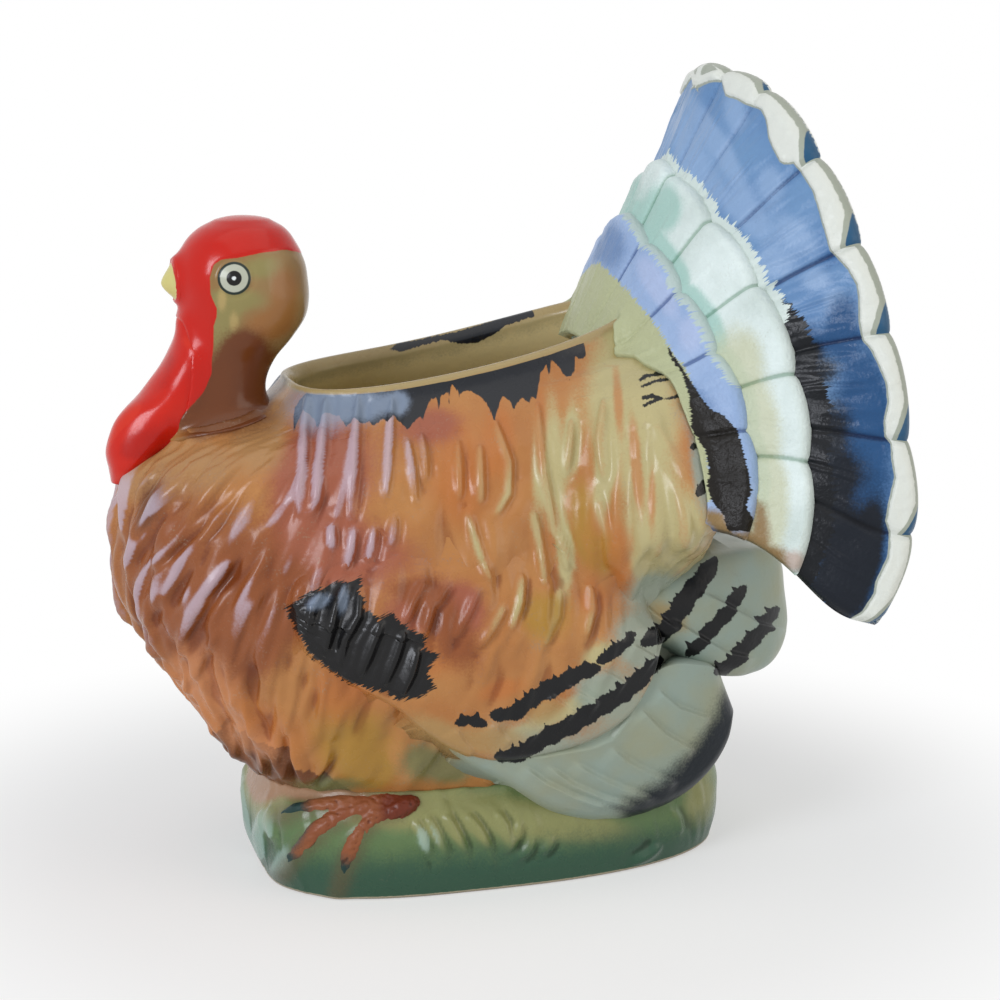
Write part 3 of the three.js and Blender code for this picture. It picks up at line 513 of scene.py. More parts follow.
def lobePlace(along, up):
    return lobeFrontX + along * lobe["length"], lobe["lowZ"] + up * lobe["height"]


def plateGrid(top, low, place, rows, columns):
    t = np.linspace(0, 1, columns)[None]
    v = np.linspace(0, 1, rows)[:, None]
    topX, topZ = place(*outlineAt(top, t))
    lowX, lowZ = place(*outlineAt(low, t))
    return mix(topX, lowX, v), mix(topZ, lowZ, v), t + 0 * v, v + 0 * t


def wingBulge(x, z):
    along = ovalHeight((x - wing["centreX"]) / wing["reach"], wing["squareAlong"])
    down = ovalHeight(np.maximum(0, (wing["turnZ"] - z) / wing["drop"]), wing["squareDown"])
    return wing["halfWidth"] * along * down


def lobeFaceY(x, z, v):
    about = ovalHeight((x - lobeCentreX) / lobe["reach"], lobe["squareness"])
    roll = 1 - lobe["roll"] * (1 - ovalHeight(2 * v - 1, lobe["rollSquareness"]))
    return lobe["halfWidth"] * about * roll


# Tail: a fan on a leaning sheet whose halves sweep back, with two shorter rows on its face.
tail = {
    "radius": 104.0, "whiteRadius": 72.0, "blueRadius": 58.0, "hubX": 17.2, "hubZ": 88.5,
    "lean": 23.0, "spread": 103.0, "rootSpread": 94.0, "bow": 100.0, "sweep": 15.0, "ridge": 8.0,
    "thickness": 6.6, "rootThickness": 10.0, "rootRadius": 34.0, "scallop": 1.4, "rowScallop": 1.8,
    "swell": 1.3, "rowThickness": 2.6, "joint": 0.3, "waist": 0.6, "backBulge": 1.5, "paintRadius": 80.0,
    "entryReach": 82.0, "entryDepth": 1.0, "leastRow": 6.0,
    "fanGrid": (130, 600), "whiteGrid": (76, 520), "blueGrid": (56, 460),
    "feathers": [.05, .14, .29, .455, .61, .77, .89, 1], "whiteFeathers": [.06, .235, .44, .66, .83, 1],
    "blueFeathers": [.13, .335, .55, .77, 1],
    "edge": [(0, .993), (.05, .989), (.14, .977), (.29, .92), (.455, .882), (.61, .886), (.77, .936),
             (.89, 1.014), (1, 1.048)],
    "whiteEdge": [(0, 1.083), (.22, .997), (.44, .975), (.64, .997), (.8, 1.047), (1, 1.17)],
    "blueEdge": [(0, 1.094), (.22, 1.004), (.44, .977), (.64, 1.022), (.8, 1.094), (1, 1.201)],
}


def tailSheet(radius, angle):
    lean, sweep = math.radians(tail["lean"]), math.radians(tail["sweep"])
    along, across = radius * np.cos(angle), radius * np.sin(angle)
    soft = np.hypot(across, tail["ridge"]) - tail["ridge"]
    x = tail["bow"] * (math.cos(sweep) - np.cos(sweep + soft / tail["bow"]))
    y = tail["bow"] * (np.sin(sweep + np.abs(across) / tail["bow"]) - math.sin(sweep))
    return np.stack([tail["hubX"] + along * math.sin(lean) + x, np.sign(across) * y,
            tail["hubZ"] + along * math.cos(lean)], -1)


def tailPoint(radius, angle, height):
    nudge = 0.2
    out = tailSheet(radius + nudge, angle) - tailSheet(radius - nudge, angle)
    about = (tailSheet(radius, angle + nudge / tail["radius"])
            - tailSheet(radius, angle - nudge / tail["radius"]))
    normal = np.cross(out, about)
    normal /= np.linalg.norm(normal, axis=-1, keepdims=True)
    return tailSheet(radius, angle) + normal * np.asarray(height)[..., None]


def tailPolar(point):
    lean, sweep = math.radians(tail["lean"]), math.radians(tail["sweep"])
    t = math.asin(min(1, abs(point[1]) / tail["bow"] + math.sin(sweep))) - sweep
    across = tail["bow"] * t
    soft = math.hypot(across, tail["ridge"]) - tail["ridge"]
    x = point[0] - tail["hubX"] - tail["bow"] * (math.cos(sweep) - math.cos(sweep + soft / tail["bow"]))
    along = (point[2] - tail["hubZ"]) * math.cos(lean) + x * math.sin(lean)
    return math.hypot(along, across), math.degrees(math.atan2(across, along))


def tailSpread(radius):
    widen = smoothStep(tail["waist"] * tail["radius"], tail["radius"], radius)
    return mix(tail["rootSpread"], tail["spread"], widen)


def featherParts(share, feathers):
    edges = np.array([-f for f in reversed(feathers)] + list(feathers))
    index = np.clip(np.searchsorted(edges, share, side="right") - 1, 0, len(edges) - 2)
    part = (share - edges[index]) / (edges[index + 1] - edges[index])
    return index, np.clip(part, 0, 1), edges[index + 1] - edges[index]


headOuter = headGrid()
wattleOuter = wattleGrid()
beakOuter = beakGrid()
beakTree = treeOf((beakOuter, True))
headTree = treeOf((headOuter, True))
wattleTree = treeOf((wattleOuter, True))
print("head, wattle and beak surfaces")


def plainRipple(u, v, size, seed):
    # Soft random waves, about one millimetre deep from peak to valley, with bumps of about the given size.
    waves = np.random.default_rng(seed)
    total = np.zeros(np.broadcast(u, v).shape)
    for _ in range(18):
        heading, phase = waves.uniform(0, turn), waves.uniform(0, turn)
        pitch = size * waves.uniform(0.8, 2.2)
        total += np.sin(turn / pitch * (u * math.cos(heading) + v * math.sin(heading)) + phase)
    return total / 9


def foldedFlank(x, z):
    # Half width of the pot with its folds, looked up along y.
    width = potHalfWidth(x, z)
    ahead = Vector((0, 1, 0))
    outside = -2 * pot["halfWidth"]
    for r, c in np.ndindex(*x.shape):
        spot = potTree.ray_cast((x[r, c], outside, z[r, c]), ahead)[0]
        if spot:
            width[r, c] = min(width[r, c], -spot[1])
    return width


# Faces of the plates before their relief. The coverts are two rows of feathers, full at their ends.
def covertFullness(t, v):
    lower = v > wing["covertLap"]
    down = np.where(lower, (v - wing["covertLap"]) / (1 - wing["covertLap"]), v / wing["covertLap"])
    across = np.abs(np.sin(math.pi * (wing["covertScallops"] * t + np.where(lower, 0, 0.5))))
    return down * across ** 0.5


def roundOff(gap, radius):
    # How far a quarter round has sunk at a gap from its edge: 1 at the edge, 0 from the radius on.
    roll = np.clip(1 - gap / radius, 0, 1)
    return 1 - np.sqrt(1 - roll * roll)


def lowAndRearGap(x, z):
    return np.minimum(np.hypot(x - x[-1:], z - z[-1:]), np.hypot(x - x[:, -1:], z - z[:, -1:]))


def covertSheets():
    x, z, t, v = plateGrid(wing["covertTop"], wing["covertLow"], wingPlace, wing["rows"], wing["columns"])
    flankY = potHalfWidth(x, z)
    rise = mix(wing["covertRoot"], wing["thickness"], smoothStep(0, 0.7, v))
    rise = rise + wing["covertSwell"] * (covertFullness(t, v) - v)
    bulge = wingBulge(x, z) + wing["step"]
    full = np.maximum(flankY + rise, np.minimum(bulge, flankY + rise + wing["standOff"]))
    fade = smoothStep(0, 0.45, v) * smoothStep(0, 0.1, t) * (1 - smoothStep(0.93, 1, t) * (1 - v))
    y = mix(foldedFlank(x, z) - wing["covertSunk"], full, fade)
    overhang = np.where(t > 0.3, wingBulge(x, z) - wing["covertOverhang"], 0)
    under = np.maximum(flankY, overhang) - wing["covertUnder"]
    lowGap = np.hypot(x - x[-1:], z - z[-1:])
    y = mix(y, np.minimum(under, y), roundOff(lowGap, wing["covertRound"]))
    return x, y, z, t, v


def primarySheets():
    x, z, t, v = plateGrid(wing["primaryTop"], wing["primaryLow"], wingPlace, wing["rows"], wing["columns"])
    sunk = wing["primaryRound"] * roundOff(lowAndRearGap(x, z), wing["primaryRound"])
    return x, wingBulge(x, z) - sunk, z, t, v


def lobeSheets():
    x, z, t, v = plateGrid(lobe["top"], lobe["low"], lobePlace, lobe["rows"], lobe["columns"])
    y = lobeFaceY(x, z, v)
    depth = np.minimum(lobe["round"], lobe["roundShare"] * y)
    return x, y - depth * roundOff(lowAndRearGap(x, z), lobe["round"]), z, t, v


def leftSide(x, y, z):
    return np.stack([x, -y, z], -1)


covertFace = covertSheets()
primaryFace = primarySheets()
lobeFace = lobeSheets()


# Fan and rows: a column is a share of the spread, a row goes from where the sheet enters the pot to its rim.
def entryRadius(share, height, rim):
    # The radius at which a sheet has just sunk into the pot's wall.
    coarse = np.linspace(-1, 1, 81)
    radius = np.linspace(tail["rootRadius"], tail["entryReach"], 97)[:, None]
    angle = np.radians(coarse[None] * tailSpread(radius))
    gap = nearestOn(potWallTree, tailPoint(radius + 0 * angle, angle, np.full(angle.shape, height)))[0]
    sunk = gap < -tail["entryDepth"]
    last = np.where(sunk.any(0), len(radius) - 1 - np.argmax(sunk[::-1], 0), 0)
    return np.minimum(np.interp(share, coarse, radius[last, 0]), rim - tail["leastRow"])


def fanSheet(share, start, rim, rows):
    out = 1 - (1 - np.linspace(0, 1, rows)[:, None]) ** 1.4
    radius = mix(start[None], rim[None], out)
    return radius, share[None] * tailSpread(radius)


def rimRoll(radius, share, rim, depth):
    # 1 on the flat of a sheet, and down to 0 in a quarter round at its rim and its ends.
    ends = (1 - np.abs(share)) * np.radians(tail["spread"]) * radius
    q = np.clip(1 - (rim - radius) / depth, 0, 1) ** 2 + np.clip(1 - ends / depth, 0, 1) ** 2
    return np.sqrt(np.clip(1 - q, 0, 1))


def tailRow(feathers, edge, radius, scallop, grid, height):
    # One row of the tail. Each column has its share of the spread, its place in its feather, the feather's
    # width and dome, and its rim. The sheet holds the radii and angles of the grid.
    rows, columns = grid
    share = np.linspace(-1, 1, columns)
    _, part, width = featherParts(share, feathers)
    dome = np.sqrt(np.clip(4 * part * (1 - part), 0, 1))
    rim = radius * readTable(edge, np.abs(share)) + scallop * dome
    sheet = fanSheet(share, entryRadius(share, height, rim), rim, rows)
    return {"share": share, "part": part, "width": width, "dome": dome, "rim": rim, "sheet": sheet}


whiteTop = tail["joint"] + tail["rowThickness"]
blueTop = 2 * whiteTop
fan = tailRow(tail["feathers"], tail["edge"], tail["radius"], tail["scallop"], tail["fanGrid"], 0.0)
whiteRow = tailRow(tail["whiteFeathers"], tail["whiteEdge"], tail["whiteRadius"], tail["rowScallop"],
        tail["whiteGrid"], whiteTop)
blueRow = tailRow(tail["blueFeathers"], tail["blueEdge"], tail["blueRadius"], tail["rowScallop"],
        tail["blueGrid"], blueTop)
fanShare, fanPart, fanWidth, fanDome, fanRim, fanFront = fan.values()
fanBackEntry = entryRadius(fanShare, -tail["thickness"] - tail["backBulge"], fanRim)
fanBack = fanSheet(fanShare, fanBackEntry, fanRim, tail["fanGrid"][0])


def arcLength(angle):
    return np.radians(angle) * tail["paintRadius"]


def plainSheet(sheet, height):
    return tailPoint(sheet[0], np.radians(sheet[1]), np.full(sheet[0].shape, height))


print("plates and tail sheets")


# Marks are noted as pixels of the photograph, where they are easiest to read off and to change.
pixelSize = 0.232       # millimetres that a pixel covers at the bird
outlinePixels = {
    "fringe": [(308, 392), (323, 388), (346, 387), (369, 384), (391, 384), (409, 379), (431, 373),
        (454, 370), (471, 364), (489, 364), (497, 361), (517, 354), (546, 348), (559, 341), (567, 341),
        (579, 339), (583, 341), (586, 354), (583, 360), (576, 357), (574, 371), (570, 381), (563, 374),
        (559, 367), (551, 359), (550, 376), (546, 365), (541, 373), (539, 384), (536, 399), (531, 396),
        (529, 404), (523, 397), (517, 403), (514, 411), (510, 401), (503, 396), (497, 411), (494, 423),
        (490, 410), (483, 399), (471, 391), (463, 391), (459, 399), (457, 390), (451, 384), (449, 404),
        (447, 393), (441, 396), (439, 410), (437, 397), (431, 399), (426, 410), (423, 421), (420, 416),
        (413, 423), (407, 430), (403, 424), (394, 416), (387, 424), (383, 419), (374, 426), (369, 421),
        (360, 424), (354, 420), (346, 427), (339, 416), (330, 413), (324, 416), (319, 431), (313, 418),
        (305, 412), (299, 420), (294, 433), (293, 416), (295, 408), (302, 397)],
    "farLip": [(389, 350), (397, 343), (420, 339), (460, 331), (500, 318), (531, 308), (535, 316),
        (505, 326), (497, 333), (477, 343), (460, 344), (443, 340), (420, 346), (400, 352)],
    "patch": [(286, 609), (299, 599), (317, 588), (335, 582), (351, 580), (361, 575), (360, 592), (368, 612),
        (378, 618), (393, 613), (400, 622), (414, 630), (427, 636), (424, 648), (440, 655), (428, 668),
        (431, 676), (436, 688), (426, 694), (417, 697), (399, 700), (384, 691), (369, 690), (351, 683),
        (330, 671), (309, 653), (302, 637), (295, 627), (290, 617)],
    "cap": [(330, 251), (301, 253), (287, 250), (260, 253), (242, 257), (221, 260), (214, 265), (210, 278),
        (211, 294), (217, 308), (217, 317), (214, 326), (214, 345), (212, 374), (206, 392), (180, 440),
        (90, 480), (90, 190), (330, 190)],
    "blotch": [(668, 346), (677, 361), (683, 370), (690, 380), (700, 395), (710, 409), (724, 416),
        (735, 428), (741, 443), (745, 458), (749, 475), (751, 492), (746, 506), (751, 519), (749, 531),
        (727, 531), (724, 516), (715, 504), (710, 489), (711, 470), (707, 451), (695, 431), (693, 414),
        (690, 395), (683, 375), (669, 356)],
    "tanEnd": [(700, 508), (724, 512), (732, 530), (752, 530), (756, 499), (765, 505), (771, 543),
        (784, 549), (790, 590), (760, 594), (735, 575)],
    "tipTriangle": [(708, 62), (703, 77), (718, 70)],
    "navyTip": [(722, 690), (709, 722), (692, 746), (670, 768), (642, 789), (612, 804), (640, 850),
        (720, 830), (770, 765), (760, 690)],
}
strokePixels = {
    "stripes": [([(457, 723), (468, 720), (485, 724)], 1.3), ([(494, 715), (514, 713), (535, 697),
        (559, 685), (580, 673), (596, 668)], 2.2), ([(599, 661), (613, 652), (630, 640)], 1.6), ([(500, 757),
        (520, 754), (541, 740), (568, 727), (592, 712), (616, 698), (637, 683), (649, 669), (660, 660)],
        2.4), ([(645, 643), (661, 632), (676, 615), (689, 595), (702, 579), (714, 561)], 2.6), ([(688, 653),
        (702, 639), (716, 624), (730, 606), (744, 588)], 1.9), ([(717, 672), (730, 662), (745, 647),
        (760, 629), (776, 610)], 2.0)],
    "dashes": [([(639, 380), (647, 376), (664, 373), (678, 370)], 0.5), ([(642, 386), (656, 381),
        (678, 377)], 0.4), ([(642, 398), (652, 396), (662, 399)], 0.6), ([(644, 406), (651, 402),
        (657, 400)], 0.5), ([(666, 399), (678, 396), (690, 393)], 0.4), ([(697, 495), (703, 487),
        (709, 478)], 1.3), ([(690, 448), (696, 447)], 0.7), ([(709, 518), (714, 511)], 0.8)],
}
# Low ridges: the lines that part the feathers, and the blades of grass.
ridgePixels = {
    "covert": [[(455, 728), (463, 742), (475, 754)], [(492, 722), (500, 733), (512, 744)], [(522, 716),
        (530, 724), (541, 733)], [(549, 694), (560, 703), (576, 714)], [(566, 687), (582, 695), (600, 706)],
        [(597, 669), (610, 675), (627, 685)], [(631, 645), (643, 651), (657, 660)]],
    "primary": [[(655, 689), (679, 709), (712, 720)], [(637, 707), (664, 734), (697, 753)], [(607, 746),
        (628, 762), (655, 776), (680, 783)], [(571, 761), (595, 776), (622, 788), (658, 799)], [(544, 764),
        (571, 783), (604, 797), (640, 805)], [(520, 765), (544, 781), (574, 795), (610, 806)], [(523, 759),
        (568, 751), (592, 747), (612, 738), (637, 706)]],
    "flank": [[(308, 396), (304, 430), (299, 512)], [(326, 400), (322, 440), (315, 502)], [(358, 398),
        (355, 440), (350, 517)], [(392, 400), (389, 440), (385, 495)], [(407, 440), (412, 480), (415, 504)],
        [(421, 434), (424, 460), (425, 482)], [(458, 440), (459, 470), (460, 498)], [(480, 446), (480, 476),
        (481, 502)], [(494, 420), (508, 462), (508, 494), (497, 514)], [(537, 404), (544, 478), (554, 528),
        (577, 568)], [(572, 420), (569, 446), (566, 474)], [(604, 400), (600, 440), (604, 480)], [(330, 526),
        (333, 548)], [(354, 528), (350, 548), (345, 569)], [(374, 526), (372, 542), (368, 562)], [(394, 516),
        (393, 532), (391, 546)], [(468, 515), (478, 548), (489, 580)], [(533, 512), (541, 554), (545, 584)],
        [(560, 538), (567, 570)], [(600, 500), (606, 530), (610, 566)], [(422, 582), (413, 602), (404, 622)],
        [(450, 582), (432, 608), (421, 638)], [(478, 588), (468, 610), (456, 637)], [(504, 606), (492, 628),
        (478, 648)], [(522, 576), (519, 602), (511, 630)], [(560, 590), (556, 616), (546, 644)], [(590, 586),
        (592, 610), (586, 636)]],
    "patch": [[(322, 590), (312, 606), (308, 628)], [(345, 584), (336, 606), (326, 650)], [(360, 588),
        (358, 616), (344, 640), (340, 664)], [(382, 622), (372, 646), (360, 676)], [(404, 632), (396, 656),
        (384, 684)], [(418, 650), (412, 672), (402, 694)]],
    "lobe": [[(622, 598), (640, 604), (664, 621), (678, 631)], [(700, 592), (730, 608), (757, 624),
        (788, 632)], [(668, 618), (700, 638), (724, 652), (757, 660)]],
    "blade": [[(415, 822), (423, 835), (428, 856)], [(428, 818), (437, 836), (447, 858)], [(446, 816),
        (455, 833), (466, 853)], [(468, 815), (477, 828), (489, 847)], [(533, 839), (529, 848), (520, 858)],
        [(553, 838), (548, 846), (541, 853)], [(634, 863), (647, 856), (661, 845)], [(672, 809), (677, 819),
        (680, 832)], [(262, 812), (258, 835), (262, 858)], [(272, 806), (268, 822), (270, 838)], [(497, 812),
        (505, 826), (508, 846)], [(520, 822), (516, 838), (505, 852)]],
}
# The inner edge of the fan's pale band, from the top down, and the line where the fan's rows meet the rump.
bandPixels = [(694, 60), (695, 70), (697, 87), (709, 81), (721, 79), (727, 95), (737, 98), (746, 103),
    (755, 106), (762, 109), (767, 120), (770, 138), (778, 159), (784, 163), (794, 162), (805, 177),
    (814, 191), (821, 214), (827, 234), (831, 250), (837, 256), (849, 269), (858, 285), (860, 301),
    (860, 321), (863, 339), (872, 349), (880, 366), (887, 383), (889, 402), (885, 421), (886, 436),
    (892, 443), (893, 460), (896, 477), (890, 502), (887, 521), (891, 533), (889, 557), (877, 582),
    (875, 594), (863, 613), (853, 620)]
junctionPixels = [(596, 268), (604, 275), (620, 292), (640, 315), (655, 335), (668, 355), (683, 378),
    (692, 412), (698, 440), (706, 465), (708, 490), (716, 512), (727, 534)]

# Airbrush work in the same pixels: centre, reach to the sides and down, tilt in degrees.
airbrush = {
    "cream": [(648, 430, 34, 110), (612, 400, 30, 62), (556, 455, 9, 62, -4), (566, 560, 8, 40),
        (680, 540, 36, 52), (640, 318, 46, 36, 20), (540, 470, 9, 44), (604, 480, 10, 40, 10),
        (572, 440, 8, 40), (650, 560, 20, 44), (585, 700, 34, 12, -32), (530, 728, 34, 9, -24),
        (600, 655, 22, 12, -30)],
    "gold": [(581, 512, 13, 36), (602, 552, 22, 22, 40), (352, 740, 46, 40), (372, 772, 22, 16),
        (545, 615, 26, 26)],
    "orange": [(345, 690, 34, 34), (260, 735, 60, 34, 20), (200, 690, 44, 34, 40),
        (440, 645, 42, 34, -20), (460, 470, 30, 60), (618, 400, 5, 40, -4), (637, 470, 6, 46, -6),
        (622, 560, 11, 34, 10), (652, 500, 4, 36), (595, 600, 16, 18), (500, 440, 16, 40),
        (540, 430, 7, 40), (500, 690, 26, 10, -20)],
    "rust": [(330, 462, 52, 52), (430, 425, 34, 20), (350, 555, 70, 36), (420, 610, 42, 26, -10),
        (465, 610, 22, 30, -15), (305, 520, 40, 70)],
    "brown": [(165, 560, 60, 80, 12), (215, 640, 62, 50), (255, 590, 40, 80), (300, 600, 20, 40),
        (455, 640, 24, 36, -30), (430, 610, 22, 18), (420, 590, 30, 14)],
    "collar": [(150, 480, 30, 26), (190, 470, 60, 30, -12), (262, 440, 24, 30), (280, 400, 14, 22)],
    "umber": [(236, 420, 40, 17, -6), (150, 505, 12, 30, 20)],
    # Painted bounce light: the low front of the breast is sprayed a lighter orange, as if lit from below.
    "glow": [(200, 680, 44, 30, 40), (250, 738, 34, 16, 30)],
    "moss": [(424, 762, 26, 20), (455, 768, 20, 16), (330, 785, 40, 9)],
    "sage": [(560, 770, 74, 34, 28), (660, 740, 80, 60), (700, 630, 70, 56), (765, 600, 40, 60),
        (640, 640, 26, 26), (600, 690, 26, 22), (655, 590, 28, 16), (664, 350, 14, 44, -28),
        (700, 470, 10, 44, -6)],
    "tan": [(440, 735, 40, 16, 25), (500, 740, 34, 16, 10), (545, 712, 22, 12, -25), (668, 616, 24, 12, 30)],
    # Painted sheen: blue-grey over the black paint at the fringe's left and on the patch, where the glaze
    # shines.
    "sheen": [(318, 408, 34, 26), (365, 405, 30, 16), (398, 402, 12, 12), (318, 602, 13, 7, -30),
        (343, 600, 5, 14, 10)],
}
# Where raised feathers carry lilac, partly lilac glaze and partly painted highlight, or cream, and where they
# are laid one by one in place of carved strokes.
crestPlaces = {
    "lilac": [(320, 460, 60, 60), (390, 450, 30, 50), (140, 520, 34, 50, -20), (112, 484, 16, 22),
        (250, 570, 70, 60), (350, 545, 50, 24), (160, 590, 40, 50, -20)],
    "cream": [(500, 470, 50, 60), (560, 500, 60, 90), (470, 540, 40, 40), (540, 610, 60, 40)],
    "corded": [(400, 450, 110, 66), (540, 470, 90, 90), (350, 545, 90, 30), (360, 635, 76, 56, 30)],
}
sideForm = {
    "stripeTeeth": 1.3, "dashTeeth": 0.3, "navyFade": (-3.6, 4.2), "shadedSeamShare": 0.8, "shadedSeamWidth": 2.6,
    "cordHeight": 1.2, "cordWidth": 1.15, "cordedShare": 0.8, "crestCream": 0.9,
}


def inOutline(u, v, name):
    return pixelSize * insideOutline(u, v, np.array(outlinePixels[name], float))


def teeth(at, seed):
    # Uneven points, as stiff bristles leave them: 0 to 1 along a mark, about a millimetre apart.
    waves = np.random.default_rng(seed)
    total = np.zeros(at.shape)
    for _ in range(5):
        total += np.sin(turn * at / waves.uniform(0.9, 4.0) + waves.uniform(0, turn))
    return np.clip(total / 3, 0, 1) ** 2


def strokeInside(u, v, lines, ragged=0.0):
    # Distance inside a brush stroke. Its upper side breaks into teeth, where the bristles lifted off.
    inside = np.full(u.shape, -9.0)
    for k, (path, half) in enumerate(lines):
        path = np.array(path, float)
        length = np.linalg.norm(np.diff(path, axis=0), axis=1).sum() * pixelSize
        gap, along, side = nearestSegment(u, v, path)
        body = half * (0.5 + 0.5 * np.clip(4 * along * (1 - along), 0, 1) ** 0.4)
        body = body * (0.9 + 0.1 * np.sin(along * length * 1.3 + k))
        body += ragged * np.where(side < 0, 1.0, 0.2) * teeth(along * length, 40 + k)
        inside = np.maximum(inside, body - pixelSize * gap)
    return inside


def sidePaint(points):
    # Every coat that the flanks, wings and lobes share, so that paint runs on from one piece to the next.
    u, v = photoPixels(points)
    layers = sprayed(u, v, airbrush)
    layers["fringe"] = inOutline(u, v, "fringe")
    layers["patch"] = inOutline(u, v, "patch")
    layers["stripes"] = np.maximum(strokeInside(u, v, strokePixels["stripes"], sideForm["stripeTeeth"]),
            strokeInside(u, v, strokePixels["dashes"], sideForm["dashTeeth"]))
    layers["blotch"] = inOutline(u, v, "blotch")
    layers["navy"] = smoothStep(*sideForm["navyFade"], inOutline(u, v, "navyTip"))
    # Painted shade: a grey band along the seam where the tail's rows meet the rump.
    seam = pixelSize * nearestSegment(u, v, np.array(junctionPixels, float))[0]
    layers["seam"] = sideForm["shadedSeamShare"] * bump(seam, sideForm["shadedSeamWidth"])
    return layers


# Tool marks: combed ridges and grooves that follow the feathers. Place in the side view, heading.
combing = np.array([(-75, 90, -.9, -.45), (-60, 95, -.7, -.7), (-50, 100, -.4, -.9), (-72, 70, -.65, -.75),
        (-60, 60, -.35, -.93), (-45, 60, -.15, -1), (-60, 40, -.2, -1), (-30, 105, -.05, -1),
        (0, 105, .05, -1), (30, 110, .15, -1), (-20, 80, .03, -1), (-35, 60, -.5, -.85),
        (0, 55, -.35, -.93), (25, 55, -.3, -.95), (40, 90, .2, -.98), (15, 85, .08, -1)])


def combHeading(place, normal):
    reach = 1 / ((combing[:, 0] - place[0]) ** 2 + (combing[:, 1] - place[2]) ** 2 + 20) ** 1.5
    heading = np.array([(combing[:, 2] * reach).sum(), 0, (combing[:, 3] * reach).sum()]) / reach.sum()
    heading += np.array([0, 0, -0.05])
    heading -= normal * (heading @ normal)
    return heading / np.linalg.norm(heading)


def carve(points, normals, spacing, strokeAt, headingAt, ringed=True, seed=5):
    # Lays strokes on a grid of points. Spacing is in rows and columns; strokeAt gives length, width, depth.
    draw = np.random.default_rng(seed)
    rows, columns = points.shape[:2]
    pitch = np.median(np.linalg.norm(np.diff(points, axis=0), axis=2))
    pitchAcross = np.median(np.linalg.norm(np.diff(points, axis=1), axis=2))
    height = np.zeros((rows, columns))
    for r in np.arange(0, rows, spacing[0]):
        for c in np.arange(0, columns, spacing[1]):
            row = int(r + draw.uniform(0, spacing[0]))
            column = int(c + draw.uniform(0, spacing[1]))
            size, kind, pick = draw.uniform(0.65, 1.35, 3), draw.uniform(), draw.uniform()
            if row >= rows or column >= columns:
                continue
            centre, normal = points[row, column], normals[row, column]
            length, width, depth, share = strokeAt(centre, normal)
            if depth == 0 or pick > share:
                continue
            length, width, depth = length * size[0], width * size[1], depth * size[2]
            ahead = headingAt(centre, normal)
            aside = np.cross(normal, ahead)
            k, kAcross = int(length / 2 / pitch) + 1, int(length / 2 / pitchAcross) + 1
            near = np.arange(max(row - k, 0), min(row + k + 1, rows))
            across = np.arange(column - kAcross, column + kAcross + 1)
            across = across % columns if ringed else across[(across >= 0) & (across < columns)]
            window = np.ix_(near, across)
            away = points[window] - centre
            u = away @ ahead / (length / 2)
            w = away @ aside / (width / 2) + 0.5 * (kind - 0.5) * u * u     # a slight bend
            body = np.clip(1 - u * u, 0, 1)
            taper = 0.55 + 0.45 * body
            if kind < 0.6:      # a rounded ridge with a sharper far side
                shape = bump(w, taper) - 0.5 * bump(w - 1.35 * taper, 0.6 * taper)
            else:               # a hollow with a soft lip
                shape = 0.4 * bump(w - 1.2 * taper, 0.6 * taper) - 0.9 * bump(w, 0.8 * taper)
            height[window] += depth * body * shape
    return height


def ridges(u, v, lines, height, reach):
    # Feather edges: each line is a low cliff that runs out softly on its lower side.
    total = np.zeros(u.shape)
    for path in lines:
        gap, along, side = nearestSegment(u, v, np.array(path, float))
        ends = smoothStep(0, 0.15, along) * (1 - smoothStep(0.85, 1, along))
        signed = pixelSize * gap * side
        under = 1.35 * bump(signed, 0.55) - 0.35 * bump(signed, 1.4)
        lip = np.where(signed > 0, np.exp(-signed / reach), under)
        total += height * ends * lip
    return total


def cords(u, v, lines, height, width):
    # Rounded ridges with a hollow on their right. Gives the relief, and 1 to 0 for how near a crest is.
    total, crest = np.zeros(u.shape), np.zeros(u.shape)
    for path in lines:
        gap, along, side = nearestSegment(u, v, np.array(path, float))
        signed = pixelSize * gap * side
        body = 0.35 + 0.65 * np.clip(4 * along * (1 - along), 0, 1) ** 0.5
        lift = bump(signed, width * body) - 0.5 * bump(signed + 1.7 * width, 0.9 * width)
        total += height * body * lift
        crest = np.maximum(crest, body * bump(signed - 0.2 * width, 0.8 * width))
    return total, crest


def sideRelief(u, v, carved):
    # Carved strokes, and the feathers that are laid one by one, with how near each point is to their crests.
    feathers, crest = cords(u, v, ridgePixels["flank"] + ridgePixels["patch"], sideForm["cordHeight"],
            sideForm["cordWidth"])
    return carved * (1 - sideForm["cordedShare"] * puffs(u, v, crestPlaces["corded"])) + feathers, crest


def lutePush(points, tree, reach):
    # How far a surface comes forward where it is luted to its neighbour, so that both meet in a round.
    gap = nearestOn(tree, points)[0]
    near = np.clip(gap, 0, reach)
    push = np.where(near >= reach / 4, (math.sqrt(reach) - np.sqrt(near)) ** 2, reach / 2 - near)
    return np.where(gap < 0, np.maximum(reach / 2 + 2 * gap, 0), push)


# Materials. The planter is white earthenware, slip cast and fired under a clear satin glaze. Its colours are
# airbrushed in soft grainy coats, then marked with a stiff brush that leaves toothed, streaky edges.
glazeScale = {"drift": 70.0, "grain": 1900.0, "cloud": 170.0}       # noise cells in a metre


def linear(hexColour):
    parts = [int(hexColour[k:k + 2], 16) / 255 for k in (1, 3, 5)]
    return tuple(p / 12.92 if p <= 0.04045 else ((p + 0.055) / 1.055) ** 2.4 for p in parts) + (1.0,)


def addNode(tree, kind, settings=None, links=None):
    node = tree.nodes.new("ShaderNode" + kind)
    for key, value in (settings or {}).items():
        if isinstance(key, str) and hasattr(node, key):
            setattr(node, key, value)
        else:
            node.inputs[key].default_value = value
    for socket, source in (links or {}).items():
        tree.links.new(source, node.inputs[socket])
    return node


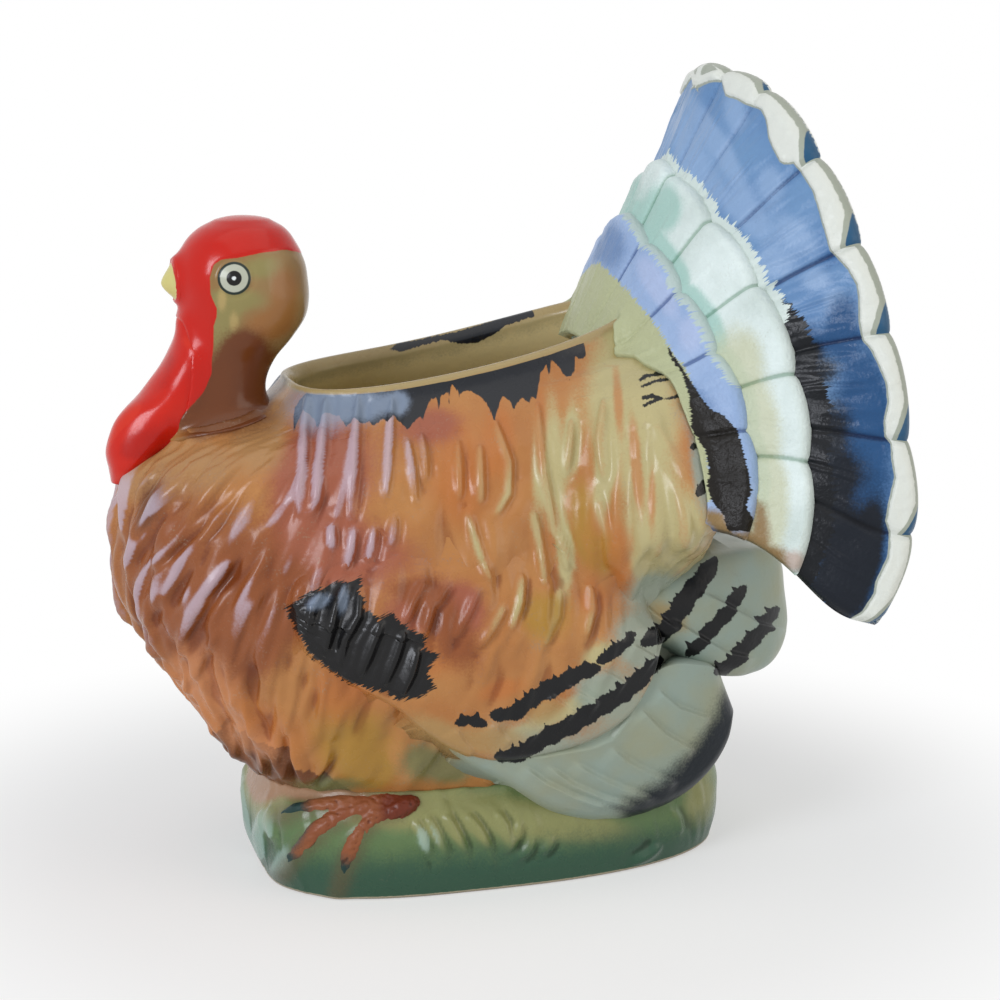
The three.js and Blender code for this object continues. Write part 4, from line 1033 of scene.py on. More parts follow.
def noise(tree, at, scale, detail, roughness=0.5):
    settings = {"Scale": scale, "Detail": detail, "Roughness": roughness}
    return addNode(tree, "TexNoise", settings, {"Vector": at}).outputs["Fac"]


def painted(tree, layer):
    return addNode(tree, "Attribute", {"attribute_name": layer}).outputs["Fac"]


def combined(tree, operation, first, second):
    return addNode(tree, "Math", {"operation": operation}, {0: first, 1: second}).outputs[0]


def softRange(tree, at, low, high, bottom=0.0, top=1.0):
    settings = {"interpolation_type": "SMOOTHSTEP", 1: low, 2: high, 3: bottom, 4: top}
    return addNode(tree, "MapRange", settings, {0: at}).outputs[0]


def glaze(name, base, coats, finish):
    # base: two colours that drift into each other over about 15 mm of the surface.
    # coats: ("spray", layer, colour, strength) is a soft coat with an airbrush's grain;
    # ("brush", layer, colour, ragged mm, streak width and length in mm, tilt) has an edge of bristle streaks;
    # ("tint", layer, colour, strength) darkens what is under it in the hollows, partly paint streaks, partly
    # painted shade.
    material = bpy.data.materials.new(name)
    material.use_nodes = True
    tree = material.node_tree
    tree.nodes.clear()
    place = addNode(tree, "TexCoord").outputs["Object"]
    drift = noise(tree, place, glazeScale["drift"], 3.0)
    grain = noise(tree, place, glazeScale["grain"], 2.0)
    cloud = noise(tree, place, glazeScale["cloud"], 4.0)
    flat = addNode(tree, "CombineXYZ", None,
            {"X": painted(tree, "across"), "Y": painted(tree, "along")}).outputs[0]
    spread = addNode(tree, "MapRange", {1: 0.35, 2: 0.65}, {0: drift}).outputs[0]
    colour = addNode(tree, "Mix", {"data_type": "RGBA", 6: linear(base[0]), 7: linear(base[1])},
            {0: spread}).outputs[2]
    haze = combined(tree, "ADD", grain, cloud)
    mottle = addNode(tree, "Math", {"operation": "MULTIPLY_ADD", 1: 0.45, 2: -0.45},
            {0: haze}).outputs[0]
    raised = None
    for kind, layer, paint, *rest in coats:
        weight = painted(tree, layer)
        if kind == "brush":
            ragged, size, tilt = rest
            streaks = addNode(tree, "Mapping", {"vector_type": "TEXTURE", "Scale": (*size, 1.0),
                                                "Rotation": (0, 0, math.radians(tilt))},
                    {"Vector": flat}).outputs[0]
            bristle = noise(tree, streaks, 1.0, 3.0, 0.6)
            broken = addNode(tree, "Math", {"operation": "MULTIPLY_ADD", 1: 2 * ragged},
                    {0: bristle, 2: weight}).outputs[0]
            cover = softRange(tree, broken, ragged - 0.1, ragged + 0.14)
            raised = cover
        else:
            cover = softRange(tree, combined(tree, "ADD", weight, mottle), 0.06, 0.94, top=rest[0])
        blend = "MULTIPLY" if kind == "tint" else "MIX"
        colour = addNode(tree, "Mix", {"data_type": "RGBA", "blend_type": blend, 7: linear(paint)},
                {0: cover, 6: colour}).outputs[2]
    uneven = addNode(tree, "MapRange", {1: 0.3, 2: 0.7, 3: finish["smooth"], 4: finish["rough"]},
            {0: cloud}).outputs[0]
    skin = noise(tree, place, finish["peelScale"], 3.0)
    normal = addNode(tree, "Bump", {"Strength": finish["peel"], "Distance": 0.0005},
            {"Height": skin}).outputs[0]
    if raised:      # brushed colour stands a few hundredths of a millimetre proud
        normal = addNode(tree, "Bump", {"Strength": 0.3, "Distance": 0.0002},
                {"Height": raised, "Normal": normal}).outputs[0]
    shader = addNode(tree, "BsdfPrincipled", {"IOR": finish["ior"]},
            {"Base Color": colour, "Roughness": uneven, "Normal": normal}).outputs[0]
    addNode(tree, "OutputMaterial", None, {"Surface": shader})
    return material


# How the fired surface takes the light: its roughness where the glaze lies smooth and where it lies thin, and
# the height and scale of its ripples. A peel scale of 420 gives ripples about 2 mm across, 1300 a fine grit.
satin = {"smooth": 0.2, "rough": 0.36, "peel": 0.18, "peelScale": 420.0, "ior": 1.37}
glossy = {"smooth": 0.15, "rough": 0.25, "peel": 0.14, "peelScale": 260.0, "ior": 1.36}
gritty = {"smooth": 0.32, "rough": 0.46, "peel": 0.4, "peelScale": 1300.0, "ior": 1.3}
dull = {"smooth": 0.3, "rough": 0.44, "peel": 0.2, "peelScale": 700.0, "ior": 1.32}


# Meshes.
def slabFaces(rows, columns):
    far = rows * columns
    front = gridFaces(rows, columns)
    back = gridFaces(rows, columns, start=far)[:, ::-1]
    rim = [(r * columns, (r + 1) * columns) for r in range(rows - 1)]
    rim += [((r + 1) * columns + columns - 1, r * columns + columns - 1) for r in range(rows - 1)]
    rim += [(c + 1, c) for c in range(columns - 1)]
    last = (rows - 1) * columns
    rim += [(last + c, last + c + 1) for c in range(columns - 1)]
    walls = np.array([(a, b, far + b, far + a) for a, b in rim])
    return [*front.tolist(), *back.tolist(), *walls.tolist()]


def tubeFaces(rows, columns):
    # A ringed grid, shut at both ends by a middle point that follows the grid's own points.
    faces = gridFaces(rows, columns, True).tolist()
    first, last = rows * columns, (rows - 1) * columns
    faces += [[(c + 1) % columns, c, first] for c in range(columns)]
    faces += [[last + c, last + (c + 1) % columns, first + 1] for c in range(columns)]
    return faces


def withMiddles(grid):
    flat = grid.reshape(-1, grid.shape[-1]) if grid.ndim == 3 else grid.reshape(-1)
    return np.concatenate([flat, grid[0].mean(0, keepdims=True), grid[-1].mean(0, keepdims=True)])


def makePiece(name, points, faces, layers, material, nodes):
    mesh = bpy.data.meshes.new(name)
    mesh.from_pydata((points / metre).tolist(), [], faces)
    for layer, values in layers.items():
        mesh.attributes.new(layer, "FLOAT", "POINT").data.foreach_set("value", values.astype(np.float32))
    shape = bmesh.new()
    shape.from_mesh(mesh)
    bmesh.ops.remove_doubles(shape, verts=shape.verts, dist=2e-6)
    bmesh.ops.dissolve_degenerate(shape, edges=shape.edges, dist=1e-7)
    bmesh.ops.recalc_face_normals(shape, faces=shape.faces)
    shape.to_mesh(mesh)
    shape.free()
    mesh.shade_smooth()
    piece = bpy.data.objects.new(name, mesh)
    bpy.context.scene.collection.objects.link(piece)
    mesh.materials.append(material)
    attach(piece, "root")
    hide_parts(*nodes)
    print("made", name, len(mesh.vertices))
    return piece


def makePair(name, points, faces, layers, material, node):
    # Makes the piece on the bird's left, which is given, and its mirror image on the right.
    for side, sign in (("Left", 1), ("Right", -1)):
        makePiece(name + side, points * np.array([1, sign, 1]), faces, layers, material,
                [node + "_" + side.lower()])


def asLayers(*parts):
    # Joins the layers of several grids into one list for the mesh.
    names = {name for part in parts for name in part[1]}
    return {name: np.concatenate([np.broadcast_to(part[1].get(name, part[2]), part[0]).reshape(-1)
            for part in parts]) for name in sorted(names)}


def makeTube(name, grid, layers, material, nodes):
    spread = {key: withMiddles(np.broadcast_to(values, grid.shape[:2])[..., None])[..., 0]
            for key, values in layers.items()}
    makePiece(name, withMiddles(grid), tubeFaces(*grid.shape[:2]), spread, material, nodes)


unpainted = -9.0        # millimetres inside a brush mark: well outside every one

# The side's coats. Sprays go down first, from pale to dark, and the black marks last.
sideCoats = [("spray", "cream", "#b8ae7e", 0.95), ("spray", "gold", "#a47d30", 0.85),
        ("spray", "orange", "#b66c34", 0.65), ("spray", "rust", "#985440", 0.9),
        ("spray", "collar", "#a97e50", 0.95), ("spray", "brown", "#8a4c28", 0.95),
        ("spray", "umber", "#66381c", 0.9), ("spray", "moss", "#70764c", 0.85),
        ("spray", "sage", "#929e8f", 0.92), ("spray", "tan", "#a88a58", 0.75),
        # The grey along the tail's seam is painted shade.
        ("spray", "seam", "#85898a", 0.6), ("spray", "navy", "#0f1820", 1.0),
        # The light orange spray on the low breast is painted bounce light.
        ("spray", "glow", "#cc8a5c", 0.6), ("tint", "groove", "#a87248", 0.5),
        # The lilac on raised feathers is partly glaze colour and partly painted highlight.
        ("spray", "lilac", "#c4b6c4", 0.6)]
blackMarks = [("brush", "fringe", "#1b1e24", 0.6, (0.8, 5.0), 0),
        ("brush", "patch", "#100f10", 2.6, (0.5, 6.0), 62),
        ("brush", "stripes", "#0c0d0f", 0.6, (0.45, 0.8), 0),
        # The last blue-grey spray is painted sheen over the black marks.
        ("brush", "blotch", "#1c1712", 0.9, (3.0, 0.5), 0), ("spray", "sheen", "#8c9bb0", 0.7)]

# Pot, carved with feather strokes.
potForm = {
    "spacing": (12, 8), "collarZ": 97.0, "collarX": -44.0, "breastX": -40.0, "plainX": 38.0,
    "plainFade": 10.0,
    "lowZ": 52.0, "seatZ": 24.0, "seatFade": 6.0, "rimZ": 104.0, "rimRise": 0.25, "rimFade": 8.0,
    "rimShare": 0.45,
    # Each kind of stroke: length, width and depth, and the share of places that get one.
    "collar": (9.0, 2.4, 0.4, 1.0), "breast": (20.0, 3.6, 0.75, 0.85), "low": (24.0, 5.5, 0.45, 0.4),
    "flank": (32.0, 4.4, 0.62, 0.6), "lute": 6.0, "neckPaint": (0.5, 4.5), "neckPixels": (183, 205),
    "paleFromX": -10.0, "paleToX": 15.0, "lipRows": (7, 11), "insideRows": (5, 10), "lipFade": (-4, 1),
}


def potStroke(place, normal):
    x, z = place[0], place[2]
    seat = (z - potForm["seatZ"]) / potForm["seatFade"]
    rim = (potForm["rimZ"] + potForm["rimRise"] * max(x, 0) - z) / potForm["rimFade"] + potForm["rimShare"]
    edge = min(1.0, max(0.0, seat)) * min(1.0, max(0.0, rim))
    if x > potForm["plainX"]:
        edge *= max(0.0, 1 - (x - potForm["plainX"]) / potForm["plainFade"])
    if z > potForm["collarZ"] and x < potForm["collarX"]:
        kind = "collar"
    elif x < potForm["breastX"]:
        kind = "breast"
    else:
        kind = "low" if z < potForm["lowZ"] else "flank"
    length, width, depth, share = potForm[kind]
    return length, width, depth * edge, share


def groovesOf(relief, depth=0.55):
    return smoothStep(0.05, depth, -relief)


potNormals = gridNormals(potOuter, True)
potRelief = carve(potOuter, potNormals, potForm["spacing"], potStroke, combHeading)
potU, potV = photoPixels(potOuter)
potRelief, potCrest = sideRelief(potU, potV, potRelief)
potPush = lutePush(potOuter, headTree, potForm["lute"])
potShown = potOuter + potNormals * (potRelief + potPush)[..., None]
potLayers = sidePaint(potOuter)
neckGap = nearestOn(headTree, potOuter)[0]
nearNeck = (1 - smoothStep(*potForm["neckPaint"], neckGap)) * smoothStep(*potForm["neckPixels"], potU)
potLayers["umber"] = np.maximum(potLayers["umber"], nearNeck)
# Towards the tail the hollows are pale, not dark.
flankShare = smoothStep(potForm["paleFromX"], potForm["paleToX"], potOuter[..., 0])
potLow = groovesOf(potRelief + 0.25 * potFoldHeight + 0.2, 0.8)
potRidges = np.maximum(potCrest, smoothStep(0.35, 0.8, potRelief))
crestCream = sideForm["crestCream"] * potCrest * puffs(potU, potV, crestPlaces["cream"])
# Lilac on the crests: partly glaze colour, partly painted highlight where the raised feathers catch the
# light.
potLayers["lilac"] = potRidges * puffs(potU, potV, crestPlaces["lilac"])
potLayers["cream"] = np.clip(potLayers["cream"] + crestCream, 0, 1)
potLayers["groove"] = potLow * (1 - flankShare)
potLayers["cream"] = np.clip(potLayers["cream"] + 0.5 * potLow * flankShare, 0, 1)
potHigh = 0.4 * smoothStep(0.15, 0.6, potRelief) * flankShare
potLayers["orange"] = np.clip(potLayers["orange"] + potHigh, 0, 1)
potBelowRim = np.arange(potOuter.shape[0])[:, None] - potOuter.shape[0]
potLayers["lip"] = np.broadcast_to(smoothStep(*potForm["lipFade"], potBelowRim), potRelief.shape)
potLayers["inside"] = np.zeros(potRelief.shape)

# Lip and inside carry no side paint, but for the dark mark on the lip's far side.
potRest = np.concatenate([potEdge, potInner])
potRestRow = np.arange(potRest.shape[0])[:, None] + 0 * potRest[..., 0]
restU, restV = photoPixels(potRest, False)
restLayers = sprayed(restU, restV, {})
restLayers.update({name: np.full(potRest.shape[:2], unpainted) for name in ("patch", "stripes", "blotch")})
restLayers["fringe"] = np.where(potRest[..., 1] > 0, inOutline(restU, restV, "farLip"), unpainted)
restLayers["lip"] = 1 - smoothStep(*potForm["lipRows"], potRestRow)
restLayers["inside"] = smoothStep(*potForm["insideRows"], potRestRow)
potAll = np.concatenate([potShown, potRest])
potCoats = [("spray", "inside", "#f2dfa6", 1.0), ("spray", "lip", "#a39468", 0.85)]
# Gives the eye a warm brown and ochre bird whose colours melt into each other under one satin skin.
potGlaze = glaze("glazedEarthenwareFlank", ("#b57e48", "#aa6f3c"), sideCoats + potCoats + blackMarks, satin)
makePiece("pot", potAll.reshape(-1, 3), gridFaces(*potAll.shape[:2], True, True).tolist(),
        asLayers((potRelief.shape, potLayers, 0), (potRest.shape[:2], restLayers, 0)), potGlaze,
        ["body_shell"])


# Feet: three toes from an ankle, laid over the front of the mound. Toes and ankle are lines of photo pixels.
feet = {
    "toeRadius": 2.1, "clawRadius": 1.2, "ankleRadius": 2.4, "sink": 1.0, "steps": 44, "sides": 20,
    "taperShare": 0.6, "knuckle": 0.35, "voxel": 0.36, "bumpHeight": 0.22, "bumpSize": 1.3, "clawReach": 11.0,
    "tuck": 1.6, "ankleSteps": 14,
    "toes": [[(406, 800), (385, 803), (340, 806), (300, 811), (282, 817)],
             [(392, 808), (363, 810), (325, 827), (304, 848), (284, 873)],
             [(396, 812), (376, 818), (358, 838), (348, 861), (338, 890)]],
    "ankle": [(420, 799), (404, 806), (384, 817)],
}

# Mound: outside, then inside the pot's wall, over the ledge and down to the floor.
def moundSolid():
    gap = nearestOn(potTree, moundOuter)[0]
    sunk = gap < -1.0
    step = pot["columns"] / mound["columns"]
    seatColumns = (np.arange(mound["columns"]) * step).astype(int) % pot["columns"]
    seatMiddle = (potOuter[0] + potInner[-1])[seatColumns] / 2
    seatInner = potInner[-1][seatColumns].copy()
    shown = moundOuter.copy()
    for c in range(mound["columns"]):
        first = int(np.argmax(sunk[:, c])) if sunk[:, c].any() else mound["rows"] - 1
        t = np.linspace(0, 1, mound["rows"] - first)[:, None]
        shown[first:, c] = mix(moundOuter[first, c], seatMiddle[c], t)
    floor = seatInner * mound["floorShare"]
    floor[:, 0] = mix(seatInner[:, 0].mean(), seatInner[:, 0], mound["floorShare"])
    floor[:, 2] = mound["floorLevel"]
    seatInner[:, 2] -= 0.2
    middle = floor.mean(0)
    inner = [seatInner, mix(seatInner, floor, 0.5), floor, mix(middle, floor, 0.6), mix(middle, floor, 0.02)]
    recess = moundPoint(moundAngles, np.zeros(moundAngles.shape), -mound["footWidth"])
    up = np.array([0, 0, mound["footRecess"]])
    centre = recess.mean(0) + up
    foot = moundPoint(moundAngles, np.zeros(moundAngles.shape), -0.8)
    under = [mix(centre, recess + up, 0.02), mix(centre, recess + up, 0.5), recess + up, recess, foot]
    shown[0, :, 2] += 0.5
    return np.stack(under), shown, np.stack(inner), sunk


def grassStroke(place, normal):
    x, z = place[0], place[2]
    if z < 6 or z > 30:
        return 8.0, 2.0, 0.0, 0.0
    return 12.0, 3.0, 0.22 + 0.2 * math.exp(-((x + 4) / 20) ** 2), 0.5


def grassHeading(place, normal):
    heading = np.array([0.3, 0, -1.0])
    heading -= normal * (heading @ normal)
    return heading / np.linalg.norm(heading)


grassForm = {"spacing": (12, 14), "bladeHeight": 0.9, "bladeWidth": 1.1, "toeWidth": 3.2, "toeRise": 0.7,
        "lute": 3.0, "bareLevel": 0.9}
moundSprays = {
    "pale": [(470, 812, 90, 28, 6), (575, 826, 60, 18, 8), (700, 800, 16, 40), (270, 800, 26, 20),
        (380, 812, 60, 16)],
    "pink": [(300, 788, 44, 13, 6), (262, 790, 14, 16), (345, 800, 40, 8, 4)],
    # Painted highlight: pale green-white on the raised grass at the left, where the light catches it.
    "frost": [(262, 835, 18, 30), (280, 858, 14, 16), (250, 850, 10, 24), (425, 838, 14, 14)],
}
moundUnder, moundShown, moundInner, moundSunk = moundSolid()
moundNormals = gridNormals(moundOuter, True)
moundU, moundV = photoPixels(moundOuter)
moundRelief = carve(moundOuter, moundNormals, grassForm["spacing"], grassStroke, grassHeading)
moundBlades, moundCrest = cords(moundU, moundV, ridgePixels["blade"], grassForm["bladeHeight"],
        grassForm["bladeWidth"])
toeGaps = [pixelSize * nearestSegment(moundU, moundV, np.array(toe, float))[0] for toe in feet["toes"]]
moundToes = np.max([bump(gap, grassForm["toeWidth"]) for gap in toeGaps], axis=0)
moundRelief += moundBlades
moundRelief += grassForm["toeRise"] * moundToes
moundPush = lutePush(moundOuter, potTree, grassForm["lute"])
moundRelief = np.where(moundSunk, 0, moundRelief)
moundShown += moundNormals * (moundRelief + np.where(moundSunk, 0, moundPush))[..., None]
moundShown[..., 2] = np.maximum(moundShown[..., 2], 0)
moundShares = moundOuter[..., 2] / mound["topLevel"]
moundDrop = moundShares + 0.08 * smoothStep(20, 60, moundOuter[..., 0])
moundLayers = sprayed(moundU, moundV, moundSprays)
moundLayers["pale"] = moundLayers["pale"] + 0.8 * moundCrest * smoothStep(0.2, 0.5, moundShares)
# The painted highlight is kept to the raised grass.
moundLayers["frost"] = moundLayers["frost"] * smoothStep(0.0, 0.5, moundRelief + 0.1)
moundLayers["toe"] = 0.8 * moundToes
moundLayers["deep"] = 1 - smoothStep(0.08, 0.5, moundDrop)
moundLayers["groove"] = groovesOf(moundRelief)
moundLayers["bare"] = grassForm["bareLevel"] - moundOuter[..., 2]
moundAll = np.concatenate([moundUnder, moundShown, moundInner])
# Gives the eye wet grass, pale above and deep below, on a line of bare clay where the glaze was wiped off.
moundGlaze = glaze("glazedEarthenwareGrass", ("#5c754a", "#647b50"),
        [("spray", "pale", "#8f8f5c", 0.95), ("spray", "deep", "#2f5240", 0.95),
         ("spray", "pink", "#a67c60", 0.9), ("tint", "groove", "#5f7a50", 0.6),
         ("spray", "frost", "#a4beb2", 0.65), ("spray", "toe", "#5d5238", 0.7),
         ("brush", "bare", "#b3a58c", 0.2, (2.0, 2.0), 0)], satin)
moundParts = ((moundUnder.shape[:2], {"bare": 9.0}, 0), (moundShown.shape[:2], moundLayers, 0),
        (moundInner.shape[:2], {"bare": 9.0}, 0))
makePiece("grassBase", withMiddles(moundAll), tubeFaces(*moundAll.shape[:2]),
        {name: np.concatenate([values, values[-2:]]) for name, values in asLayers(*moundParts).items()},
        moundGlaze, ["grass_base"])

# Head and neck. The eye is painted: a dark ring round a pale ring, and a black pupil with a glint.
eye = {"centre": (234.2, 278.3), "ring": 16.8, "white": 14.0, "pupil": 7.6, "glint": 2.2, "minSide": 4.0}
headSprays = {
    "umber": [(256, 385, 44, 42), (226, 400, 30, 46), (262, 420, 44, 24), (244, 352, 20, 22),
        (205, 428, 34, 18)],
    "olive": [(226, 318, 16, 26), (222, 340, 8, 18), (238, 300, 30, 12), (262, 268, 24, 12)],
    "orange": [(284, 292, 16, 30), (268, 325, 24, 16)],
    "cream": [(234, 322, 5, 11), (222, 300, 5, 12)],
    "collar": [(170, 440, 24, 14), (210, 456, 60, 10)],
}
headNormals = gridNormals(headOuter, True)
headU, headV = photoPixels(headOuter)
headLayers = sprayed(headU, headV, headSprays)
headLayers["cap"] = inOutline(headU, headV, "cap")
eyeGap = np.hypot(headU - eye["centre"][0], headV - eye["centre"][1])
eyeGap = np.where(np.abs(headOuter[..., 1]) > eye["minSide"], eyeGap, 99)
for name in ("ring", "white", "pupil", "glint"):
    headLayers["eye" + name] = pixelSize * (eye[name] - eyeGap)
eyeReach = pixelSize * eyeGap
headZ = headOuter[..., 2]
headRelief = head["eyeRise"] * bump(eyeReach, head["eyeRiseWidth"])
headRelief -= head["eyeGroove"] * bump(eyeReach - head["eyeGrooveAt"], 0.5)
headRelief += head["capRise"] * smoothStep(-0.6, 0.8, headLayers["cap"]) * smoothStep(103, 112, headZ)
headRelief += head["waves"] * plainRipple(headU * pixelSize, headV * pixelSize, head["waveSize"], 31)
# The fillet to the wattle fades out at the throat and at the pot, which has its own.
headMeets = (1 - 0.5 * smoothStep(118, 126, headZ)) * smoothStep(0, 4, nearestOn(potTree, headOuter)[0])
headPush = lutePush(headOuter, potTree, head["lute"])
headPush += lutePush(headOuter, beakTree, head["beakLute"])
headPush += headMeets * lutePush(headOuter, wattleTree, head["lute"])
headShown = headOuter + headNormals * (headRelief + headPush)[..., None]
headShown = tuck(headShown, potTree, head["tuck"])
evenStreak = (1.0, 1.0)
headCoats = [("spray", "olive", "#8b8853", 0.7), ("spray", "orange", "#9a6534", 0.8),
        ("spray", "cream", "#b59c64", 0.7), ("spray", "umber", "#673517", 0.97),
        ("spray", "collar", "#a5743f", 0.8), ("brush", "cap", "#c01708", 0.22, (3.0, 3.0), 0),
        ("brush", "eyering", "#1c2a24", 0.06, evenStreak, 0),
        ("brush", "eyewhite", "#b5b8a6", 0.06, evenStreak, 0),
        ("brush", "eyepupil", "#0c0c0d", 0.05, evenStreak, 0),
        ("brush", "eyeglint", "#dfe4e2", 0.05, evenStreak, 0)]
# Gives the eye a hard-edged red cap over soft tan and brown, and a ringed eye laid on with a fine brush.
headGlaze = glaze("glazedEarthenwareFace", ("#967a50", "#8e6e42"), headCoats, glossy)
makeTube("headNeck", headShown, headLayers, headGlaze, ["head_and_neck"])

# Wattle and beak.
wattleNormals = gridNormals(wattleOuter, True)
wattleZ = wattleOuter[..., 2]
wattleWaves = plainRipple(wattleOuter[..., 1] * 1.4, wattleZ, wattle["waveSize"], 3)
wattleRelief = wattle["waves"] * wattleWaves
wattlePush = lutePush(wattleOuter, headTree, wattle["lute"])
wattlePush = wattlePush * (1 - smoothStep(*wattle["luteFade"], wattleZ))
wattleShown = wattleOuter + wattleNormals * (wattleRelief + wattlePush)[..., None]
wattleShown[..., 0] -= wattle["throatFill"] * smoothStep(*wattle["throatZ"], wattleZ)
wattleShown = tuck(wattleShown, potTree, wattle["tuck"])
wattleLayers = {"groove": groovesOf(wattleRelief, 0.4), "hot": smoothStep(0.1, 0.5, wattleWaves),
        "across": wattleOuter[..., 0], "along": wattleOuter[..., 2]}
# Gives the eye thick wet red, a little lighter where it bulges.
wattleGlaze = glaze("glazedEarthenwareWattle", ("#c01708", "#c8200c"),
        [("spray", "hot", "#d2331c", 0.5), ("tint", "groove", "#c86a52", 0.5)], glossy)
makeTube("wattleLobe", wattleShown, wattleLayers, wattleGlaze, ["wattle"])

beakNormals = gridNormals(beakOuter, True)
beakNormals *= np.sign(beakNormals[beak["rows"] // 2, 0, 2])
beakPush = lutePush(beakOuter, headTree, head["beakLute"])
beakShown = tuck(beakOuter + beakNormals * beakPush[..., None], headTree, beak["tuck"])
beakU, beakV = photoPixels(beakOuter)
capU, capV = beak["capPixel"]
beakLayers = sprayed(beakU, beakV, {})
beakLayers["cap"] = pixelSize * (beakU - capU - beak["capLean"] * (beakV - capV))
# Gives the eye a pale yellow tip with the cap's red run over its root.
beakGlaze = glaze("glazedEarthenwareBeak", ("#cfc683", "#c6b765"),
        [("brush", "cap", "#c4200f", 0.25, (2.0, 2.0), 0)], glossy)
makeTube("beakTip", beakShown, beakLayers, beakGlaze, ["beak"])
print("head pieces")


# Wings and lobes.
def platePair(name, face, relief, rootY, material, node, extra=None, cream=0.0):
    x, y, z, t, v = face
    plain = leftSide(x, y, z)
    shown = plain + shownNormals(plain, 1) * relief[..., None]
    shown[..., 1] = np.minimum(shown[..., 1], -rootY - 0.2)
    back = tuck(leftSide(x, np.full(x.shape, rootY), z), potTree, wing["backDepth"])
    if extra:
        back = tuck(back, extra, wing["backDepth"])
    layers = sidePaint(plain)
    layers["groove"] = groovesOf(relief)
    layers["cream"] = np.clip(layers["cream"] + cream, 0, 1)
    both = asLayers((x.shape, layers, 0), (x.shape, layers, 0))
    points = np.concatenate([shown.reshape(-1, 3), back.reshape(-1, 3)])
    makePair(name, points, slabFaces(*x.shape), both, material, node)


covertX, covertY, covertZ, covertT, covertV = covertFace
covertPlain = leftSide(covertX, covertY, covertZ)
covertU, covertPixelV = photoPixels(covertPlain)
covertGate = smoothStep(0.0, 0.2, covertV) * (1 - smoothStep(0.9, 1, covertV))
covertGate = covertGate * smoothStep(0.02, 0.12, covertT)


def covertStroke(place, normal):
    x, z = place[0], place[2]
    fine = max(0.0, 1 - max(0.0, (x - 12)) / 16) * max(0.0, min(1.0, (z - 42 - 0.3 * max(0, x)) / 8))
    return 16.0, 4.2, 0.6 * fine, 0.7


covertRelief = covertGate * carve(covertPlain, shownNormals(covertPlain, 1), wing["strokeSpacing"],
        covertStroke, combHeading, False)
covertRelief, covertCrest = sideRelief(covertU, covertPixelV, covertRelief)
covertRelief += ridges(covertU, covertPixelV, ridgePixels["covert"], *wing["covertCliff"])
covertCream = sideForm["crestCream"] * covertCrest * puffs(covertU, covertPixelV, crestPlaces["cream"])
# Gives the eye a wing that grows out of the flank's own colours and then cools to sage.
wingGlaze = glaze("glazedEarthenwareWing", ("#b57e48", "#aa6f3c"), sideCoats + blackMarks, satin)
platePair("wingCovert", covertFace, covertRelief, wing["rootY"], wingGlaze, "wing_coverts",
        cream=covertCream)

primaryU, primaryV = photoPixels(leftSide(*primaryFace[:3]))
primaryRelief = ridges(primaryU, primaryV, ridgePixels["primary"], *wing["primaryCliff"])
# Gives the eye cool, duller quills that darken to navy at their tips.
quillGlaze = glaze("glazedEarthenwareQuill", ("#94a398", "#9a9f88"),
        [("spray", "tan", "#a08a5c", 0.8), ("spray", "orange", "#a87e4c", 0.6),
         ("spray", "navy", "#0f1820", 1.0), ("tint", "groove", "#8a9a92", 0.7)] + blackMarks, dull)
platePair("wingPrimary", primaryFace, primaryRelief, wing["rootY"], quillGlaze, "wing_primaries",
        moundTree)

lobeU, lobeV = photoPixels(leftSide(*lobeFace[:3]))
lobeRelief = ridges(lobeU, lobeV, ridgePixels["lobe"], *lobe["cliff"])
platePair("rumpLobe", lobeFace, lobeRelief, lobe["rootY"], quillGlaze, "rump_lobe")
print("wings and lobes")

# Foot meshes.
def onMound(pixels, steps):
    # The place on the mound under each pixel of a line, with even steps between them.
    eye, right, up, back = cameraAxes()
    focal, middle = cameraLens()
    places = []
    for u, v in pixels:
        ray = (right * (u - middle) - up * (v - middle)) / focal - back
        spots = [tree.ray_cast(eye, ray)[0] for tree in (moundTree, potTree)]
        spots = [spot for spot in spots if spot]
        if spots:
            places.append(min(spots, key=lambda spot: (spot - eye).length))
    places = np.array(places)
    length = runLength(places)
    at = np.linspace(0, length[-1], steps)
    rows = [readTable(np.column_stack([length, places]), at, k) for k in (1, 2, 3)]
    return np.stack(rows, 1)


def tubeAlong(path, radii):
    along = np.gradient(path, axis=0)
    along /= np.linalg.norm(along, axis=1, keepdims=True)
    side = np.cross(np.array([0, 0, 1.0]), along)
    side /= np.linalg.norm(side, axis=1, keepdims=True)
    up = np.cross(along, side)
    angle = np.linspace(0, turn, feet["sides"], endpoint=False)
    return (path[:, None] + radii[:, None, None] * (side[:, None] * np.cos(angle)[None, :, None]
            + up[:, None] * np.sin(angle)[None, :, None]))


def footTubes():
    tubes = []
    t = np.linspace(0, 1, feet["steps"])
    for toe in feet["toes"]:
        path = onMound(toe, feet["steps"]) + np.array([0, feet["sink"], 0])
        taper = mix(feet["toeRadius"], feet["clawRadius"], smoothStep(feet["taperShare"], 1, t))
        knuckles = feet["knuckle"] * np.sin(3 * math.pi * t) ** 2 * (1 - t)
        tip = np.sqrt(np.clip(1 - ((t - 0.94).clip(0) / 0.061) ** 2, 0.02, 1))
        tubes.append(tubeAlong(path, (taper + knuckles) * tip))
    t = np.linspace(-1, 1, feet["ankleSteps"])
    ankle = onMound(feet["ankle"], feet["ankleSteps"])
    tubes.append(tubeAlong(ankle, feet["ankleRadius"] * np.sqrt(1.02 - t * t)))
    return tubes


